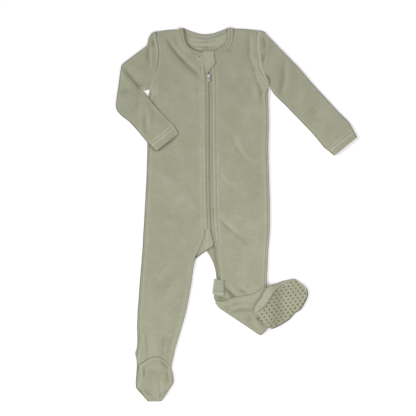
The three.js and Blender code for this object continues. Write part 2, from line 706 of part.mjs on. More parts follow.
function rightFoot() {
  const LIP_SOLE = 2.4;
  const sections = RIGHT_FOOT.map((row) => [[row.innerX, row.innerY], [row.outerX, row.outerY]]);
  const sole = wallFrom(
    fillSections(sections, RIGHT_FOOT, ROW_STEP),
    underProfile(6, () => ({
      height: EDGE_HEIGHT,
      firstLip: LIP_SOLE,
      firstRoll: 1,
      secondLip: LIP_SOLE,
      secondRoll: 1,
    })),
  );
  const upperSections = RIGHT_FOOT.slice(1).map((row) => {
    const curve = planCurve([[row.innerX, row.innerY], [row.outerX, row.outerY]]);
    return [curve.at(LIP_SOLE + GAP), curve.at(curve.length - LIP_SOLE - GAP)].map((p) => p.toArray());
  });
  const heightAt = (u, row, at) => {
    const crown = smooth(u / 14) * smooth((row.curve.length - u) / 14);
    return mix(Math.min(EDGE_HEIGHT, row.height), row.height, crown) + foldHeight(at.x, at.y) * crown;
  };
  const upper = wallFrom(
    fillSections([UPPER_ARCH, ...upperSections], RIGHT_FOOT, ROW_STEP),
    topProfile(8, heightAt),
  );
  return [mesh("foot_right_sole", sole, SAGE), mesh("foot_right_upper", upper, SAGE)];
}

// A bar of cloth from its sections: two faces, with a shallow groove between two ridges where it is bound.
function bar(name, sections, low, high, { groove = 0, columns = 4, colour = SAGE } = {}) {
  const values = sections.map(() => ({}));
  const filled = fillSections(sections, values, ROW_STEP);
  const EDGE_ROUND = 0.5;
  const profile = (section) => {
    const outer = [];
    const inner = [];
    for (let i = 0; i <= columns; i++) {
      const u = (section.curve.length * i) / columns;
      const edge = i === 0 || i === columns ? EDGE_ROUND : 0;
      const middle = 2 * i === columns ? groove : 0;
      outer.push([u, high - edge - middle]);
      inner.push([u, low]);
    }
    return { outer, inner };
  };
  return mesh(name, wallFrom(filled, profile), colour);
}

// A strip beside the zip's line, between two distances from it, over the whole line or a stretch of it.
function zipStrip(name, strip, { top = Infinity, bottom = -Infinity } = {}) {
  const line = new THREE.CatmullRomCurve3(ZIP_LINE.map(({ x, y, full }) => new THREE.Vector3(x, y, full)));
  const STEPS = 18;
  const points = Array.from({ length: STEPS + 1 }, (_, i) => i / STEPS)
    .map((t) => ({ at: line.getPoint(t), along: line.getTangent(t) }))
    .filter(({ at }) => at.y <= top && at.y >= bottom);
  const sections = points.map(({ at, along }) => {
    const across = new THREE.Vector2(-along.y, along.x).normalize();
    const side = (distance) => {
      const near = Math.sign(distance) * TEETH.to;
      const reach = near + (distance - near) * at.z;
      return [at.x + across.x * reach, at.y + across.y * reach];
    };
    return [side(strip.from), side(strip.to)];
  });
  return bar(name, sections, strip.low, strip.high, { columns: 2 });
}

function extruded(points, low, thickness) {
  const shape = new THREE.Shape(points.map(([x, y]) => new THREE.Vector2(x, y)));
  return new THREE.ExtrudeGeometry(shape, { depth: thickness, bevelEnabled: false }).translate(0, 0, low);
}

function box(width, length, low, high, y = 0) {
  return new THREE.BoxGeometry(width, length, high - low).translate(0, y, (low + high) / 2);
}

// The slider: a plate over the tapes, a core between them, and a bridge that holds the pull tab.
function slider() {
  const halfLength = SLIDER_LENGTH / 2;
  const plate = new THREE.Shape([
    new THREE.Vector2(-SLIDER_WIDTH * 0.32, -halfLength),
    new THREE.Vector2(SLIDER_WIDTH * 0.32, -halfLength),
    new THREE.Vector2(SLIDER_WIDTH / 2, halfLength * 0.3),
    new THREE.Vector2(SLIDER_WIDTH * 0.4, halfLength),
    new THREE.Vector2(-SLIDER_WIDTH * 0.4, halfLength),
    new THREE.Vector2(-SLIDER_WIDTH / 2, halfLength * 0.3),
  ]);
  const depth = SLIDER_PLATE_TOP - SLIDER_PLATE_LOW;
  const plateSolid = new THREE.ExtrudeGeometry(plate, { depth, bevelEnabled: false }).translate(0, 0, SLIDER_PLATE_LOW);
  const core = box(SLIDER_CORE, SLIDER_LENGTH - 1, SLIDER_LOW, SLIDER_PLATE_LOW + 0.5);
  const ring = new THREE.Shape();
  ring.absarc(0, 0, BRIDGE_OUTER, -0.4, Math.PI + 0.4, false);
  ring.absarc(0, 0, BRIDGE_INNER, Math.PI + 0.4, -0.4, true);
  const bridge = new THREE.ExtrudeGeometry(ring, { depth: BRIDGE_WIDTH, bevelEnabled: false, curveSegments: 10 })
    .translate(0, 0, -BRIDGE_WIDTH / 2)
    .rotateX(Math.PI / 2)
    .rotateZ(Math.PI / 2)
    .translate(0, 0, SLIDER_PLATE_TOP + BRIDGE_INNER);
  const made = mesh("zip_slider", join([plateSolid, core, bridge]), SILVER, 0.35, 0.9);
  made.position.set(...SLIDER_AT, 0);
  return made;
}

// The pull tab lies towards the feet. Its eye passes under the bridge, and it turns about the eye's end bar.
function pullTab() {
  const half = PULL_WIDTH / 2;
  const bar = PULL_THICKNESS / 2;
  const tab = new THREE.Shape();
  tab.moveTo(-half * 0.8, bar);
  tab.lineTo(-half * 0.8, -PULL_EYE_LENGTH - 1);
  tab.absarc(0, -PULL_LENGTH + half, half, Math.PI, 2 * Math.PI, false);
  tab.lineTo(half * 0.8, -PULL_EYE_LENGTH - 1);
  tab.lineTo(half * 0.8, bar);
  const eye = new THREE.Path();
  eye.moveTo(-PULL_EYE_WIDTH / 2, -bar);
  eye.lineTo(-PULL_EYE_WIDTH / 2, -bar - PULL_EYE_LENGTH);
  eye.lineTo(PULL_EYE_WIDTH / 2, -bar - PULL_EYE_LENGTH);
  eye.lineTo(PULL_EYE_WIDTH / 2, -bar);
  tab.holes.push(eye);
  const geometry = new THREE.ExtrudeGeometry(tab, { depth: PULL_THICKNESS, bevelEnabled: false, curveSegments: 8 });
  const made = mesh("zip_pull", geometry.translate(0, 0, -PULL_THICKNESS / 2), SILVER, 0.35, 0.9);
  made.position.set(...SLIDER_AT, SLIDER_PLATE_TOP + BRIDGE_INNER);
  return made;
}

suit.add(backPanel());
suit.add(frontPanel("front_right", RIGHT_HALF, ANKLE_ARCH));
suit.add(frontPanel("front_left", LEFT_HALF.slice(0, -1), LEFT_THIGH_END));
suit.add(sleeve("sleeve_right", RIGHT_SLEEVE, overBody));
suit.add(sleeve("sleeve_left", LEFT_SLEEVE, onSurface));
suit.add(cuff("cuff_right", RIGHT_CUFF, overBody));
suit.add(cuff("cuff_left", LEFT_CUFF, onSurface));
suit.add(turnedLeg(), foldedLayers());
suit.add(...leftFoot(), ...rightFoot());
suit.add(bar("gusset", GUSSET, GUSSET_HEIGHT - WALL, GUSSET_HEIGHT, { columns: 4 }));
suit.add(zipStrip("zip_teeth", TEETH, { top: TEETH_TOP }));
suit.add(zipStrip("zip_tape_right", TAPE_RIGHT, { bottom: RIGHT_SIDE_END }));
suit.add(zipStrip("zip_tape_left", TAPE_LEFT));
suit.add(zipStrip("zip_band_right", BAND_RIGHT, { bottom: RIGHT_SIDE_END }));
suit.add(zipStrip("zip_band_left", BAND_LEFT));
suit.add(slider(), pullTab());
suit.add(mesh("zip_guard", extruded(GUARD, GUARD_LOW, GUARD_THICKNESS), SAGE));
suit.add(bar("zip_end_patch", END_PATCH, PATCH_LOW, PATCH_LOW + PATCH_THICKNESS));
suit.add(bar("neckband_right", BINDING_RIGHT, 3.7, 6.1, { groove: 0.5, colour: WARM_SAGE }));
suit.add(bar("neckband_left", BINDING_LEFT, 3.7, 6.1, { groove: 0.5, colour: WARM_SAGE }));
suit.add(bar("neckband_back", BINDING_BACK, 0, 2.4, { colour: WARM_SAGE }));
suit.add(bar("neck_tape", NECK_TAPE, WALL + GAP, WALL + GAP + 1.1, { colour: TAPE_GREEN }));

export default suit;
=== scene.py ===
"""A footed baby sleepsuit of fine rib knit, laid face up, with its camera, light and floor.

Sizes in the tables are millimetres in the part's frame: X across the chest, Y from the feet to the neck, and
z = 0 at the surface. Right and left are the wearer's, and the wearer's right is at -X.
"""

import math

import bpy
import numpy as np
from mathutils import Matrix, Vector


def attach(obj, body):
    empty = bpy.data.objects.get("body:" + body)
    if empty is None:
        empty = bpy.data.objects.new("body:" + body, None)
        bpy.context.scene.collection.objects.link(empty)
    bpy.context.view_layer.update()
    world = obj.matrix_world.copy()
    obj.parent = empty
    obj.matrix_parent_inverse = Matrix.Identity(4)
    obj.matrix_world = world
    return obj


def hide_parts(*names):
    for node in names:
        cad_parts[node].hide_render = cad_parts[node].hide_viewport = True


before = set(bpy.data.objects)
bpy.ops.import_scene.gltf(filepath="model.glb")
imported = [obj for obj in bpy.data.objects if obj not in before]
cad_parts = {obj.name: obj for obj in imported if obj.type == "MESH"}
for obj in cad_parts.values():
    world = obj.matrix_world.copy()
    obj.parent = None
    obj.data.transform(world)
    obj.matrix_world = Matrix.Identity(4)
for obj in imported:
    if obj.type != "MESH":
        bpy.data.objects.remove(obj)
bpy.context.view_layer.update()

MM = 0.001

# Cloth
WALL = 1.2
EDGE_HEIGHT = 4.4
LIP = 4.0
CHEST_HEIGHT = 5.4
CROWN_REACH = 32.0
SLEEVE_HEIGHT = 5.4
FOREARM_EDGE = 3.4
PRESSED = 1.9
CUFF_HEIGHT = 6.0
FOOT_HEIGHT = 6.2
LOWEST_TOP = 2.8
MEET = 0.9
SEAM_RIDGE = 2.8
DENT_LIMIT = 0.5
# How strongly crease height tints the cloth: painted shade in troughs and painted highlight on ridges.
CREASE_PAINTED_SHADE = 0.17
ROW_STEP = 3.2
COLUMN_STEP = 3.0

# Colours, in linear light
SAGE = (0.308, 0.318, 0.230)
# Each cloth's light and dark colour is mixed in by its tone: painted highlight and painted shade on edges,
# seams, ridges and creases, besides faint mottling.
SAGE_LIGHT = (0.392, 0.398, 0.308)
SAGE_DARK = (0.130, 0.128, 0.078)
SOLE_SAGE = (0.315, 0.323, 0.232)
DOT_OLIVE = (0.105, 0.105, 0.045)
DOT_LIGHT = (0.17, 0.165, 0.08)
BINDING_WARM = (0.325, 0.318, 0.232)
BINDING_LIGHT = (0.43, 0.405, 0.31)
BINDING_DARK = (0.21, 0.195, 0.13)
TAPE_MINT = (0.365, 0.398, 0.318)
TAPE_LIGHT = (0.40, 0.44, 0.36)
# The neck tape's dark colour is painted shadow along its lower edge, besides faint mottling.
TAPE_SHADE = (0.2, 0.19, 0.135)
ZIP_SAGE = (0.31, 0.32, 0.232)
COIL_SAGE = (0.335, 0.312, 0.232)
COIL_DARK = (0.25, 0.235, 0.165)
THREAD_SAGE = (0.38, 0.39, 0.285)
THREAD_LIGHT = (0.46, 0.465, 0.35)
NICKEL = (0.93, 0.93, 0.92)
NICKEL_WORN = (0.7, 0.7, 0.7)
# Painted shade for the hole in the pull tab.
NICKEL_SHADE = (0.2, 0.2, 0.21)

# The hole in the pull tab, as its place and radius in metres; the metal there is darkened with painted shade.
PULL_HOLE = ((0.0025, 0.2571, 0.0085), 0.0013)


def table(columns, rows):
    """Rows of numbers as dictionaries keyed by the names of their columns."""
    return [dict(zip(columns.split(), row)) for row in rows]


def mix(a, b, t):
    return a + (b - a) * t


def smooth(t):
    s = np.clip(t, 0.0, 1.0)
    return s * s * (3 - 2 * s)


def bell(distance, width):
    """A smooth bump, 1 at distance 0 and about a third at one width."""
    return np.exp(-((distance / width) ** 2))


def between(row, start, end):
    """The line between two named points of a table's row."""
    return [(row[start + "_x"], row[start + "_y"]), (row[end + "_x"], row[end + "_y"])]


def drawn_in(a, b, first, second):
    """The line from a to b, shorter by the first distance at a and by the second at b."""
    a, b = np.array(a, float), np.array(b, float)
    unit = (b - a) / np.linalg.norm(b - a)
    return [tuple(a + unit * first), tuple(b - unit * second)]


# The body's two halves, from the shoulder down to the ankle or knee, as in the solids.
HALF_COLUMNS = "side_x side_y back_x back_y front_x front_y side_roll inner_roll rise"
RIGHT_HALF = table(HALF_COLUMNS, [
    (-97, 346.5, -2, 336, -54.5, 350.5, 0, 0, 3.2),
    (-96, 334.5, -2, 326, -52.5, 334.5, 0, 0, 5),
    (-93.5, 323, -2, 318, -48.5, 324, 0, 0, 5.4),
    (-92, 311.5, -2, 311, -41, 313, 0, 0, 5.4),
    (-92, 301, -2, 301, -31, 304.5, 0, 0, 5.4),
    (-92.5, 289, -2, 290, -14.4, 297.5, 0, 0, 5.4),
    (-96.5, 275.5, -2, 275.5, -12.4, 275.5, 0, 0, 5.4),
    (-103, 256.5, -2, 256.5, -10.8, 256.5, 0, 0, 5.4),
    (-109, 240, -2, 240, -10.2, 240, 0, 0, 5.4),
    (-110.5, 230, -2, 230, -10, 230, 1, 0, 5.4),
    (-112.5, 216.5, -2, 216.5, -10, 216.5, 1, 0, 5.4),
    (-114.5, 169, -2, 169, -9.5, 169, 1, 0, 5.4),
    (-114, 125.5, -2, 125.5, -9.5, 125.5, 1, 0, 5.4),
    (-115.5, 72, -2, 72, -9.2, 72, 1, 0, 5.4),
    (-118.5, 17, -2, 17, -8.2, 17, 1, 0, 5.4),
    (-121, -26.5, -2, -26.5, -6.4, -26.5, 1, 0, 5.4),
    (-122, -40, -2, -40, -5.6, -39, 1, 0, 5.4),
    (-122.5, -57, -2, -56, -12.4, -57.5, 1, 0, 5.4),
    (-123.5, -70.5, -2, -69.5, -18.2, -71, 1, 0, 5.4),
    (-124.5, -82, -11.5, -76.5, -23.4, -80.5, 1, 0.3, 5.4),
    (-125, -91, -21.5, -85, -27, -88.5, 1, 1, 5.4),
    (-126.5, -106.5, -26.5, -102.5, -31.2, -103.5, 1, 1, 5.4),
    (-128.5, -131, -30, -129, -34.3, -129.5, 1, 1, 5.4),
    (-130.5, -159.5, -35, -157.5, -39.3, -158, 1, 1, 5.4),
    (-132.5, -186, -40.5, -186, -44.8, -186, 1, 1, 5.4),
    (-133.5, -213, -48, -213, -52.3, -213, 1, 1, 5.4),
    (-133, -239.5, -56, -239.5, -60.3, -239.5, 1, 1, 5.4),
    (-134, -254.5, -61, -256.5, -65.3, -256.5, 1, 1, 5.4),
])
LEFT_HALF = table(HALF_COLUMNS, [
    (94.5, 349, -2, 336, 48.5, 352, 0, 0, 3.2),
    (93.3, 335.5, -2, 326, 48.3, 334.5, 0, 0, 5),
    (93.3, 323, -2, 318, 45.8, 321, 0, 0, 5.4),
    (94, 311.5, -2, 311, 39.7, 312, 0, 0, 5.4),
    (95, 302, -2, 301, 28.7, 305.5, 0, 0, 5.4),
    (96.3, 292.5, -2, 290, 13, 298.5, 0, 0, 5.4),
    (98.4, 277.5, -2, 275.5, 14.2, 277.5, 0, 0, 5.4),
    (104, 265, -2, 264, 14.8, 264, 0, 0, 5.4),
    (111.5, 254.5, -2, 253, 15.6, 252.5, 0, 0, 5.4),
    (116, 242, -2, 240, 16, 239.5, 0, 0, 5.4),
    (115.5, 231.5, -2, 230, 16.2, 231.5, 1, 0, 5.4),
    (115.5, 209, -2, 209, 16.4, 209, 1, 0, 5.4),
    (116.5, 171, -2, 171, 16.6, 171, 1, 0, 5.4),
    (115.5, 125.5, -2, 125.5, 16.8, 125.5, 1, 0, 5.4),
    (117, 68.5, -2, 68.5, 17.2, 68.5, 1, 0, 5.4),
    (118.5, 17, -2, 17, 18.3, 17, 1, 0, 5.4),
    (118.5, -26.5, -2, -26.5, 20.2, -26.5, 1, 0, 5.4),
    (117.5, -45.5, -2, -45.5, 20.8, -45.5, 1, 0, 5.4),
    (116, -62.5, -2, -60, 20.4, -62.5, 1, 0, 5.4),
    (115.5, -72, -2, -69.5, 20.5, -73, 1, 0, 5.4),
    (115, -81.5, 4, -79, 20.8, -82.5, 1, 0, 5.4),
    (114.5, -93, 10.5, -92, 22.4, -94, 1, 0, 5.4),
    (114, -107.5, 15, -107, 24.2, -108.5, 1, 0, 5.4),
    (113, -123.5, 17, -123, 25.2, -124.5, 1, 0, 5.2),
    (113.8, -148, 14, -140.5, 18.5, -144.5, 1, 0.5, 5),
    (114, -175, 12.5, -157.5, 16.8, -159, 1, 1, 5),
    (112, -201.5, 14.5, -163.5, 18.6, -164.5, 1, 1, 5),
    (103.5, -218.5, 22.5, -168, 27, -170, 1, 1, 5),
])
LEFT_THIGH_END = [(97.5, -211), (28.5, -171)]
BACK_NECK_RIGHT = [(-97, 346.5), (-72, 350), (-45.5, 350), (-33, 344), (-20, 339), (-2, 337.6)]
BACK_NECK_LEFT = [(94.5, 349), (62, 352), (38.5, 350), (25, 344), (12, 339), (-2, 337.6)]
ANKLE_ARCH = [
    (-130.5, -287),
    (-119, -279),
    (-109.5, -273),
    (-100, -270.8),
    (-91, -271.5),
    (-83, -276),
    (-76, -283),
    (-71.6, -289),
]
BACK_ANKLE = table(HALF_COLUMNS, [
    (-137, -265, -64, -270, 0, 0, 1, 1, 0),
    (-134.5, -276.5, -66.5, -280.5, 0, 0, 1, 1, 0),
    (-134, -287.5, -68.5, -292, 0, 0, 1, 1, 0),
])

# The sleeves, as sections from the outer edge to the underarm edge.
RIGHT_SLEEVE = [
    [(-98, 346.5), (-97.3, 334.5), (-93.4, 314.5), (-93.4, 296.5), (-98, 275.5), (-104.3, 256.5),
     (-110, 238.5)],
    [(-106, 343), (-101.5, 315.5), (-102, 273.5), (-112.5, 236)],
    [(-112, 333), (-108.5, 308), (-109.5, 270), (-116.5, 235.2)],
    [(-115, 320.5), (-120, 235)],
    [(-128.5, 309.5), (-119, 235.5)],
    [(-144.5, 297.4), (-120.5, 236)],
    [(-161.8, 283.9), (-121.6, 235.6)],
    [(-163.4, 282), (-121.8, 235.3)],
    [(-164, 279), (-122, 235)],
    [(-165.8, 268), (-122.2, 234.3)],
    [(-169, 243), (-122, 233.3)],
    [(-172.5, 220.5), (-121.4, 232)],
    [(-174, 206), (-120.3, 231)],
    [(-171.5, 196), (-118.5, 229.8)],
    [(-164.5, 187.5), (-115.5, 226)],
    [(-149, 175.5), (-109.5, 217.5)],
    [(-134, 159.5), (-97, 202.5)],
    [(-121, 144), (-78.5, 183)],
    [(-108.7, 129.6), (-62, 167)],
]
LEFT_SLEEVE = [
    [(97.3, 348.5), (94.9, 335.5), (95.1, 313.5), (97.9, 292.5), (100, 277.5), (105.6, 266), (117.2, 243)],
    [(105.5, 347.3), (104.7, 321), (109, 281), (119.5, 238.5)],
    [(114, 338), (125.5, 228.5)],
    [(128.5, 323), (136, 217.5)],
    [(149, 302), (148, 206)],
    [(174, 276.5), (162.5, 191)],
    [(199, 247), (178.5, 174.5)],
    [(224, 220), (195, 157.5)],
    [(248, 194), (209, 141.5)],
    [(270.5, 171), (222, 125.5)],
    [(277.5, 157.7), (229.3, 120)],
]
RIGHT_CUFF = [[(-109.3, 130.1), (-62.4, 167.7)], [(-98, 118.8), (-54.3, 152.3)]]
LEFT_CUFF = [[(277.1, 158.4), (228.9, 120.4)], [(284, 145.7), (240.5, 110.5)]]

# The lower left leg, turned up over the thigh: its upper edge, its fold, and the height of its outer face.
TURNED_LEG = table("top_x top_y fold_x fold_y height", [
    (13.4, -158.5, 16, -170.5, 6.2),
    (20.7, -164.6, 22.4, -178.6, 8.4),
    (26, -165, 25.5, -180.8, 9.1),
    (31, -165, 29.3, -183.3, 9.6),
    (49.5, -158, 46.2, -194.5, 10.2),
    (71.5, -154.5, 68, -209, 10),
    (88.5, -150.7, 85, -220.5, 9.1),
    (102.5, -142.5, 101, -230, 8.8),
    (110.3, -138.3, 114.2, -218, 8.6),
])

# The left foot lies sole up, from the heel to the toe. Its inner edge shows a band of the upper.
LEFT_FOOT = table("inner_x inner_y outer_x outer_y band", [
    (88.5, -184.5, 94, -199, 11.8),
    (88.8, -176, 106.5, -211.3, 11),
    (95, -165, 123.5, -217.2, 17),
    (102.5, -155.5, 143.3, -208.5, 17.5),
    (109.3, -141.5, 156, -200, 19.5),
    (119.7, -133.5, 166.3, -188.5, 15.5),
    (130.7, -131.5, 177.3, -181.5, 9.5),
    (143.3, -126.7, 185.6, -168, 6.5),
    (156, -124.3, 191, -155, 3.6),
    (163.8, -122.5, 189.8, -143.3, 3.6),
    (169.7, -126, 182.5, -135.7, 3.6),
])
FOOT_REST = 9.6
FOOT_DROP_START = 116.0
FOOT_DROP_LENGTH = 30.0

RIGHT_FOOT = table("inner_x inner_y outer_x outer_y height", [
    (-133.8, -288.2, -68.3, -292.7, 4.4),
    (-135, -304, -65, -305, 5.6),
    (-136, -322, -64.5, -321, 6.2),
    (-135, -330.6, -70, -330, 6),
    (-124, -343.5, -78, -342.5, 5.4),
    (-117.5, -351, -83.7, -351, 4.6),
    (-113, -355.7, -88, -355.7, 3.6),
])

# The zip's line, and the strips beside it as distances from the line and heights.
ZIP_LINE = [
    (-1.5, 308, 1),
    (0.4, 281, 1),
    (2.7, 249, 1),
    (3.2, 216.5, 1),
    (3.6, 121.5, 1),
    (4.2, 55, 1),
    (5.1, 17, 1),
    (7, -26.5, 1),
    (9.7, -41, 0.85),
    (12.2, -52.5, 0.65),
    (13.9, -64.5, 0.45),
    (14.8, -80, 0.4),
    (16.5, -95, 0.36),
    (18.2, -108, 0.34),
    (19.4, -121, 0.32),
]
TEETH_REACH = 1.1
TEETH_TOP = 256.0
RIGHT_SIDE_END = -30.0

GUSSET = [
    [(-4.6, -27.6), (5.2, -27.6)],
    [(-4.6, -31.5), (5.5, -31.5)],
    [(-4.8, -39.5), (7.8, -40)],
    [(-11.3, -57.2), (10.6, -51)],
    [(-17, -70.2), (11.1, -56)],
    [(-20.6, -80.4), (11.4, -59.5)],
]
BINDING_RIGHT = [
    [(-54, 352.2), (-46.2, 352.6)],
    [(-52, 338), (-43.8, 338)],
    [(-49.2, 326.2), (-42, 328.2)],
    [(-41.4, 314.4), (-36.5, 318.5)],
    [(-31, 306.3), (-26.5, 312)],
    [(-21.5, 302.4), (-19, 309.2)],
    [(-14.3, 300.4), (-14.1, 308.3)],
    [(-11.5, 300), (-11.5, 308.4)],
]
BINDING_LEFT = [
    [(47.9, 353), (39, 353)],
    [(47.6, 331), (38, 334)],
    [(44.6, 321.2), (32.3, 320.5)],
    [(38.6, 313.6), (22.8, 313.9)],
    [(27.8, 306.8), (17, 310.3)],
    [(16.5, 302.3), (13.9, 310.4)],
    [(11.5, 301), (11, 309.6)],
]
BINDING_BACK = [
    [(-47.5, 354), (-46.5, 350)],
    [(-33, 347.7), (-33.2, 343.6)],
    [(-17.5, 342.8), (-17.8, 339)],
    [(-4, 341.3), (-4, 337.6)],
    [(10, 342.9), (10.2, 339.2)],
    [(24, 347.7), (24.4, 343.7)],
    [(40, 354), (40, 350)],
]
NECK_TAPE = [
    [(-44, 349.5), (-42.5, 345.5)],
    [(-33, 344.4), (-32.3, 339.8)],
    [(-17.7, 339.8), (-17.3, 335)],
    [(-4, 338.4), (-4, 333.6)],
    [(10, 340), (9.7, 335.2)],
    [(24.5, 344.5), (24, 339.9)],
    [(37, 349.5), (35.5, 345.5)],
]
GUARD = [
    [(-8.6, 309), (13, 309)],
    [(-8.4, 303), (12.9, 300.5)],
    [(-8.1, 296.4), (14.6, 292.5)],
    [(-7.2, 288), (15.6, 287.4)],
    [(-5.8, 280.5), (9.8, 279.3)],
    [(-4.4, 272), (4.4, 272)],
    [(-3.6, 266.4), (0.4, 266.4)],
]
END_PATCH = [[(12.7, -123), (31.7, -126)], [(11, -138), (31.7, -140.5)], [(9.3, -152.2), (31.7, -154.7)]]

# Creases as the cloth lies: a ridge where the height is above 0, and a trough below it. Bow is how
# far the middle of the crease stands off its chord.
CREASE_COLUMNS = "x1 y1 x2 y2 bow width height"
CREASES = table(CREASE_COLUMNS, [
    # right chest and armpit
    (-75, 328, -5, 256, 5, 3.4, -3.4),
    (-66, 330, -2, 264, 5, 8, 1.3),
    (-84, 318, -24, 250, 6, 9, 0.9),
    (-62, 334, -44, 306, 3, 4, -0.8),
    (-98, 226, -104, 208, 1, 2.6, -2.4),
    (-94, 238, -97, 214, 0, 4, 0.8),
    (-30, 246, -12, 236, 0, 6, -0.7),
    # left chest and armpit
    (48, 316, 41, 308, 0, 3.5, -1.8),
    (47, 306, 30, 292, 2, 6, 0.8),
    (87, 338, 87, 298, 0, 4, 1.7),
    (79, 336, 79, 298, 0, 4.5, -1.3),
    (80, 298, 93, 252, -2, 4, -1.3),
    (86, 300, 98, 258, -2, 3.4, 1.2),
    (96, 250, 107, 208, -2, 2.8, -3.0),
    (108, 205, 111.5, 184, 0, 3, -1.4),
    (103, 242, 111, 206, -2, 4, 1.3),
    (88, 250, 98, 205, -2, 7, 0.8),
    (86, 262, 82, 224, 3, 8, -0.7),
    # torso
    (57, 143, 87.5, 98, 4, 6, 1.4),
    (46, 146, 82, 97, 4, 4, -1.2),
    (24, 82.5, 63, 46, 5, 8, 1.5),
    (20, 82, 60, 42, 5, 4.5, -1.4),
    (34, 120, 30, 92, 3, 9, 0.8),
    (-88, 80, -60, 62, 4, 9, 0.9),
    (-60, 128, -38, 96, 3, 12, 0.9),
    (-52, 40, -24, 18, 3, 8, 0.7),
    (-100, 12, -40, -8, 5, 9, -0.6),
    (-95, -30, -60, -60, 4, 9, 0.8),
    # left hip
    (20, -6, 55, -40, 1.5, 2.8, -1.9),
    (55, -40, 80, -64, -2, 3.2, -1.1),
    (26, -2, 62, -32, 1, 6, 1.0),
    (96, -60, 70, -110, 4, 10, 0.8),
    # left thigh above the fold
    (64, -133, 84, -149, 1, 4.5, 2.4),
    (62, -144, 78, -150, 0, 2.6, -2.6),
    (13, -156.5, 36, -160.5, 0, 1.8, -4.2),
    (22, -160, 32, -166, 0, 3, -1.6),
    (36.5, -142, 52, -157.5, 1, 3.2, -5.4),
    (46, -138, 62, -152, 2, 5, 1.6),
    (84, -128, 100, -142, 1, 6, 1.0),
    # right leg
    (-124, -226, -117, -245, 1, 3, 1.4),
    (-127.5, -222, -121, -247, 1, 2.4, -1.2),
    (-117, -236, -112, -262, 1, 3, -1.3),
    (-92, -228, -93, -256, 1, 7, 1.0),
    (-80, -230, -84, -258, 1, 5, -0.9),
    (-77, -248, -78, -262, 0, 3, 1.2),
    (-104, -200, -101, -262, 1, 9, 0.9),
    (-104, -266, -88, -266, -1, 2.4, 2.0),
    (-120, -228, -116, -258, 1, 2.2, 1.8),
    (-110, -150, -96, -180, 3, 10, 0.7),
    (-60, -110, -84, -150, 3, 12, -0.7),
])
SLEEVE_CREASES = table(CREASE_COLUMNS, [
    # right sleeve: the elbow, the shoulder, and the body's edge under the forearm
    (-162, 279, -127, 238, -1, 2.8, -2.4),
    (-167, 270, -138, 238, 1, 6, 1.2),
    (-150, 290, -122, 256, 2, 6, 0.9),
    (-172, 236, -134, 235, 2, 7, -1.0),
    (-111, 318, -110, 286, 1, 4, -2.2),
    (-105.5, 316, -103, 276, 2, 3.4, 1.6),
    (-102.4, 330, -101.5, 318, 0, 2.2, -2.6),
    (-119, 240, -134, 246, 1, 3, -1.4),
    (-119, 200, -117, 150, 0, 4, -1.7),
    (-111, 206, -109, 158, 0, 6, 1.2),
    (-166, 214, -140, 226, 2, 8, 0.9),
    (-150, 196, -126, 213, 2, 7, -0.8),
    # left sleeve: the folds beside the armhole, the armpit, and the bend of the arm
    (107, 341, 111.5, 308, 0, 2.6, -1.8),
    (111.5, 308, 105.5, 284, 1, 1.9, -3.4),
    (116, 322, 110, 286, 1, 4, 1.6),
    (112, 266, 120, 254, 0, 1.7, -3.2),
    (120, 254, 116.5, 244, 0, 1.7, -2.8),
    (146, 283, 138, 228, -2, 5, -2.0),
    (156, 284, 150, 232, -2, 8, 1.2),
    (126, 304, 131, 262, 3, 8, 0.9),
    (186, 246, 178, 202, 3, 10, 0.9),
    (214, 214, 196, 184, 3, 9, -0.8),
    (238, 190, 218, 160, 3, 8, 0.8),
    (262, 165, 236, 143, 0, 3, 0.9),
])
INSIDE_CREASES = table(CREASE_COLUMNS, [
    (-36, 340, 28, 340, 8.2, 1.2, -1.2),
    (-28, 331.5, 14, 332.5, 2.2, 1.7, 1.3),
    (-28, 327.5, 16, 329.5, 2.2, 1.5, -2.0),
    (-28, 323, 14, 324, 1.8, 1.9, 1.3),
    (-28, 318.5, 18, 316, 0.5, 1.7, -2.2),
    (-28, 314.5, -6, 315, 0, 1.5, 0.7),
])
TURNED_CREASES = table(CREASE_COLUMNS, [
    (50, -184, 87, -181, -1, 2.8, -2.2),
    (50, -178, 86, -174, -1, 4, 1.0),
    (42, -167, 88, -160, -2, 3.5, 1.3),
    (46, -173, 86, -167, -2, 3, -1.0),
    (81, -188, 81, -206, 0, 4.5, -1.4),
    (60, -196, 78, -205, 2, 6, 0.9),
    (94, -206, 106, -222, 1, 4, 1.2),
    (34, -172, 44, -180, 1, 5, -0.9),
])
FOOT_CREASES = table(CREASE_COLUMNS, [
    (-124.5, -289, -125, -310, 0, 2.6, 2.2),
    (-129.5, -290, -130.5, -320, 0, 2.2, -2.2),
    (-120, -290, -120, -312, 0, 2.2, -1.6),
    (-78, -296, -72, -322, -1, 4, -1.3),
    (-86, -318, -82, -344, 1, 3, 1.2),
    (-91, -322, -88, -350, 1, 2.2, -1.2),
    (-98, -320, -92, -336, 0, 5, 1.8),
    (-130, -330, -118, -347, 0, 1.6, -3.4),
    (-126, -326, -114, -344, 0, 1.5, 1.6),
    (-122.5, -326, -110, -345, 0, 1.5, -1.6),
    (-119, -327, -107, -346, 0, 1.5, 1.4),
    (-115.5, -330, -104, -348, 0, 1.5, -1.2),
    (-79, -337, -85, -349, 0, 2.2, -3.8),
    (-77, -324, -84, -341, 0, 2, 2.0),
    (-90, -338, -94, -350, 0, 2, 1.2),
    (-126, -287, -105, -277.5, 1, 2, 2.2),
    (-88, -278, -74, -293, 1, 1.3, -2.4),
    (-112, -294, -96, -300, 3, 7, -0.8),
])


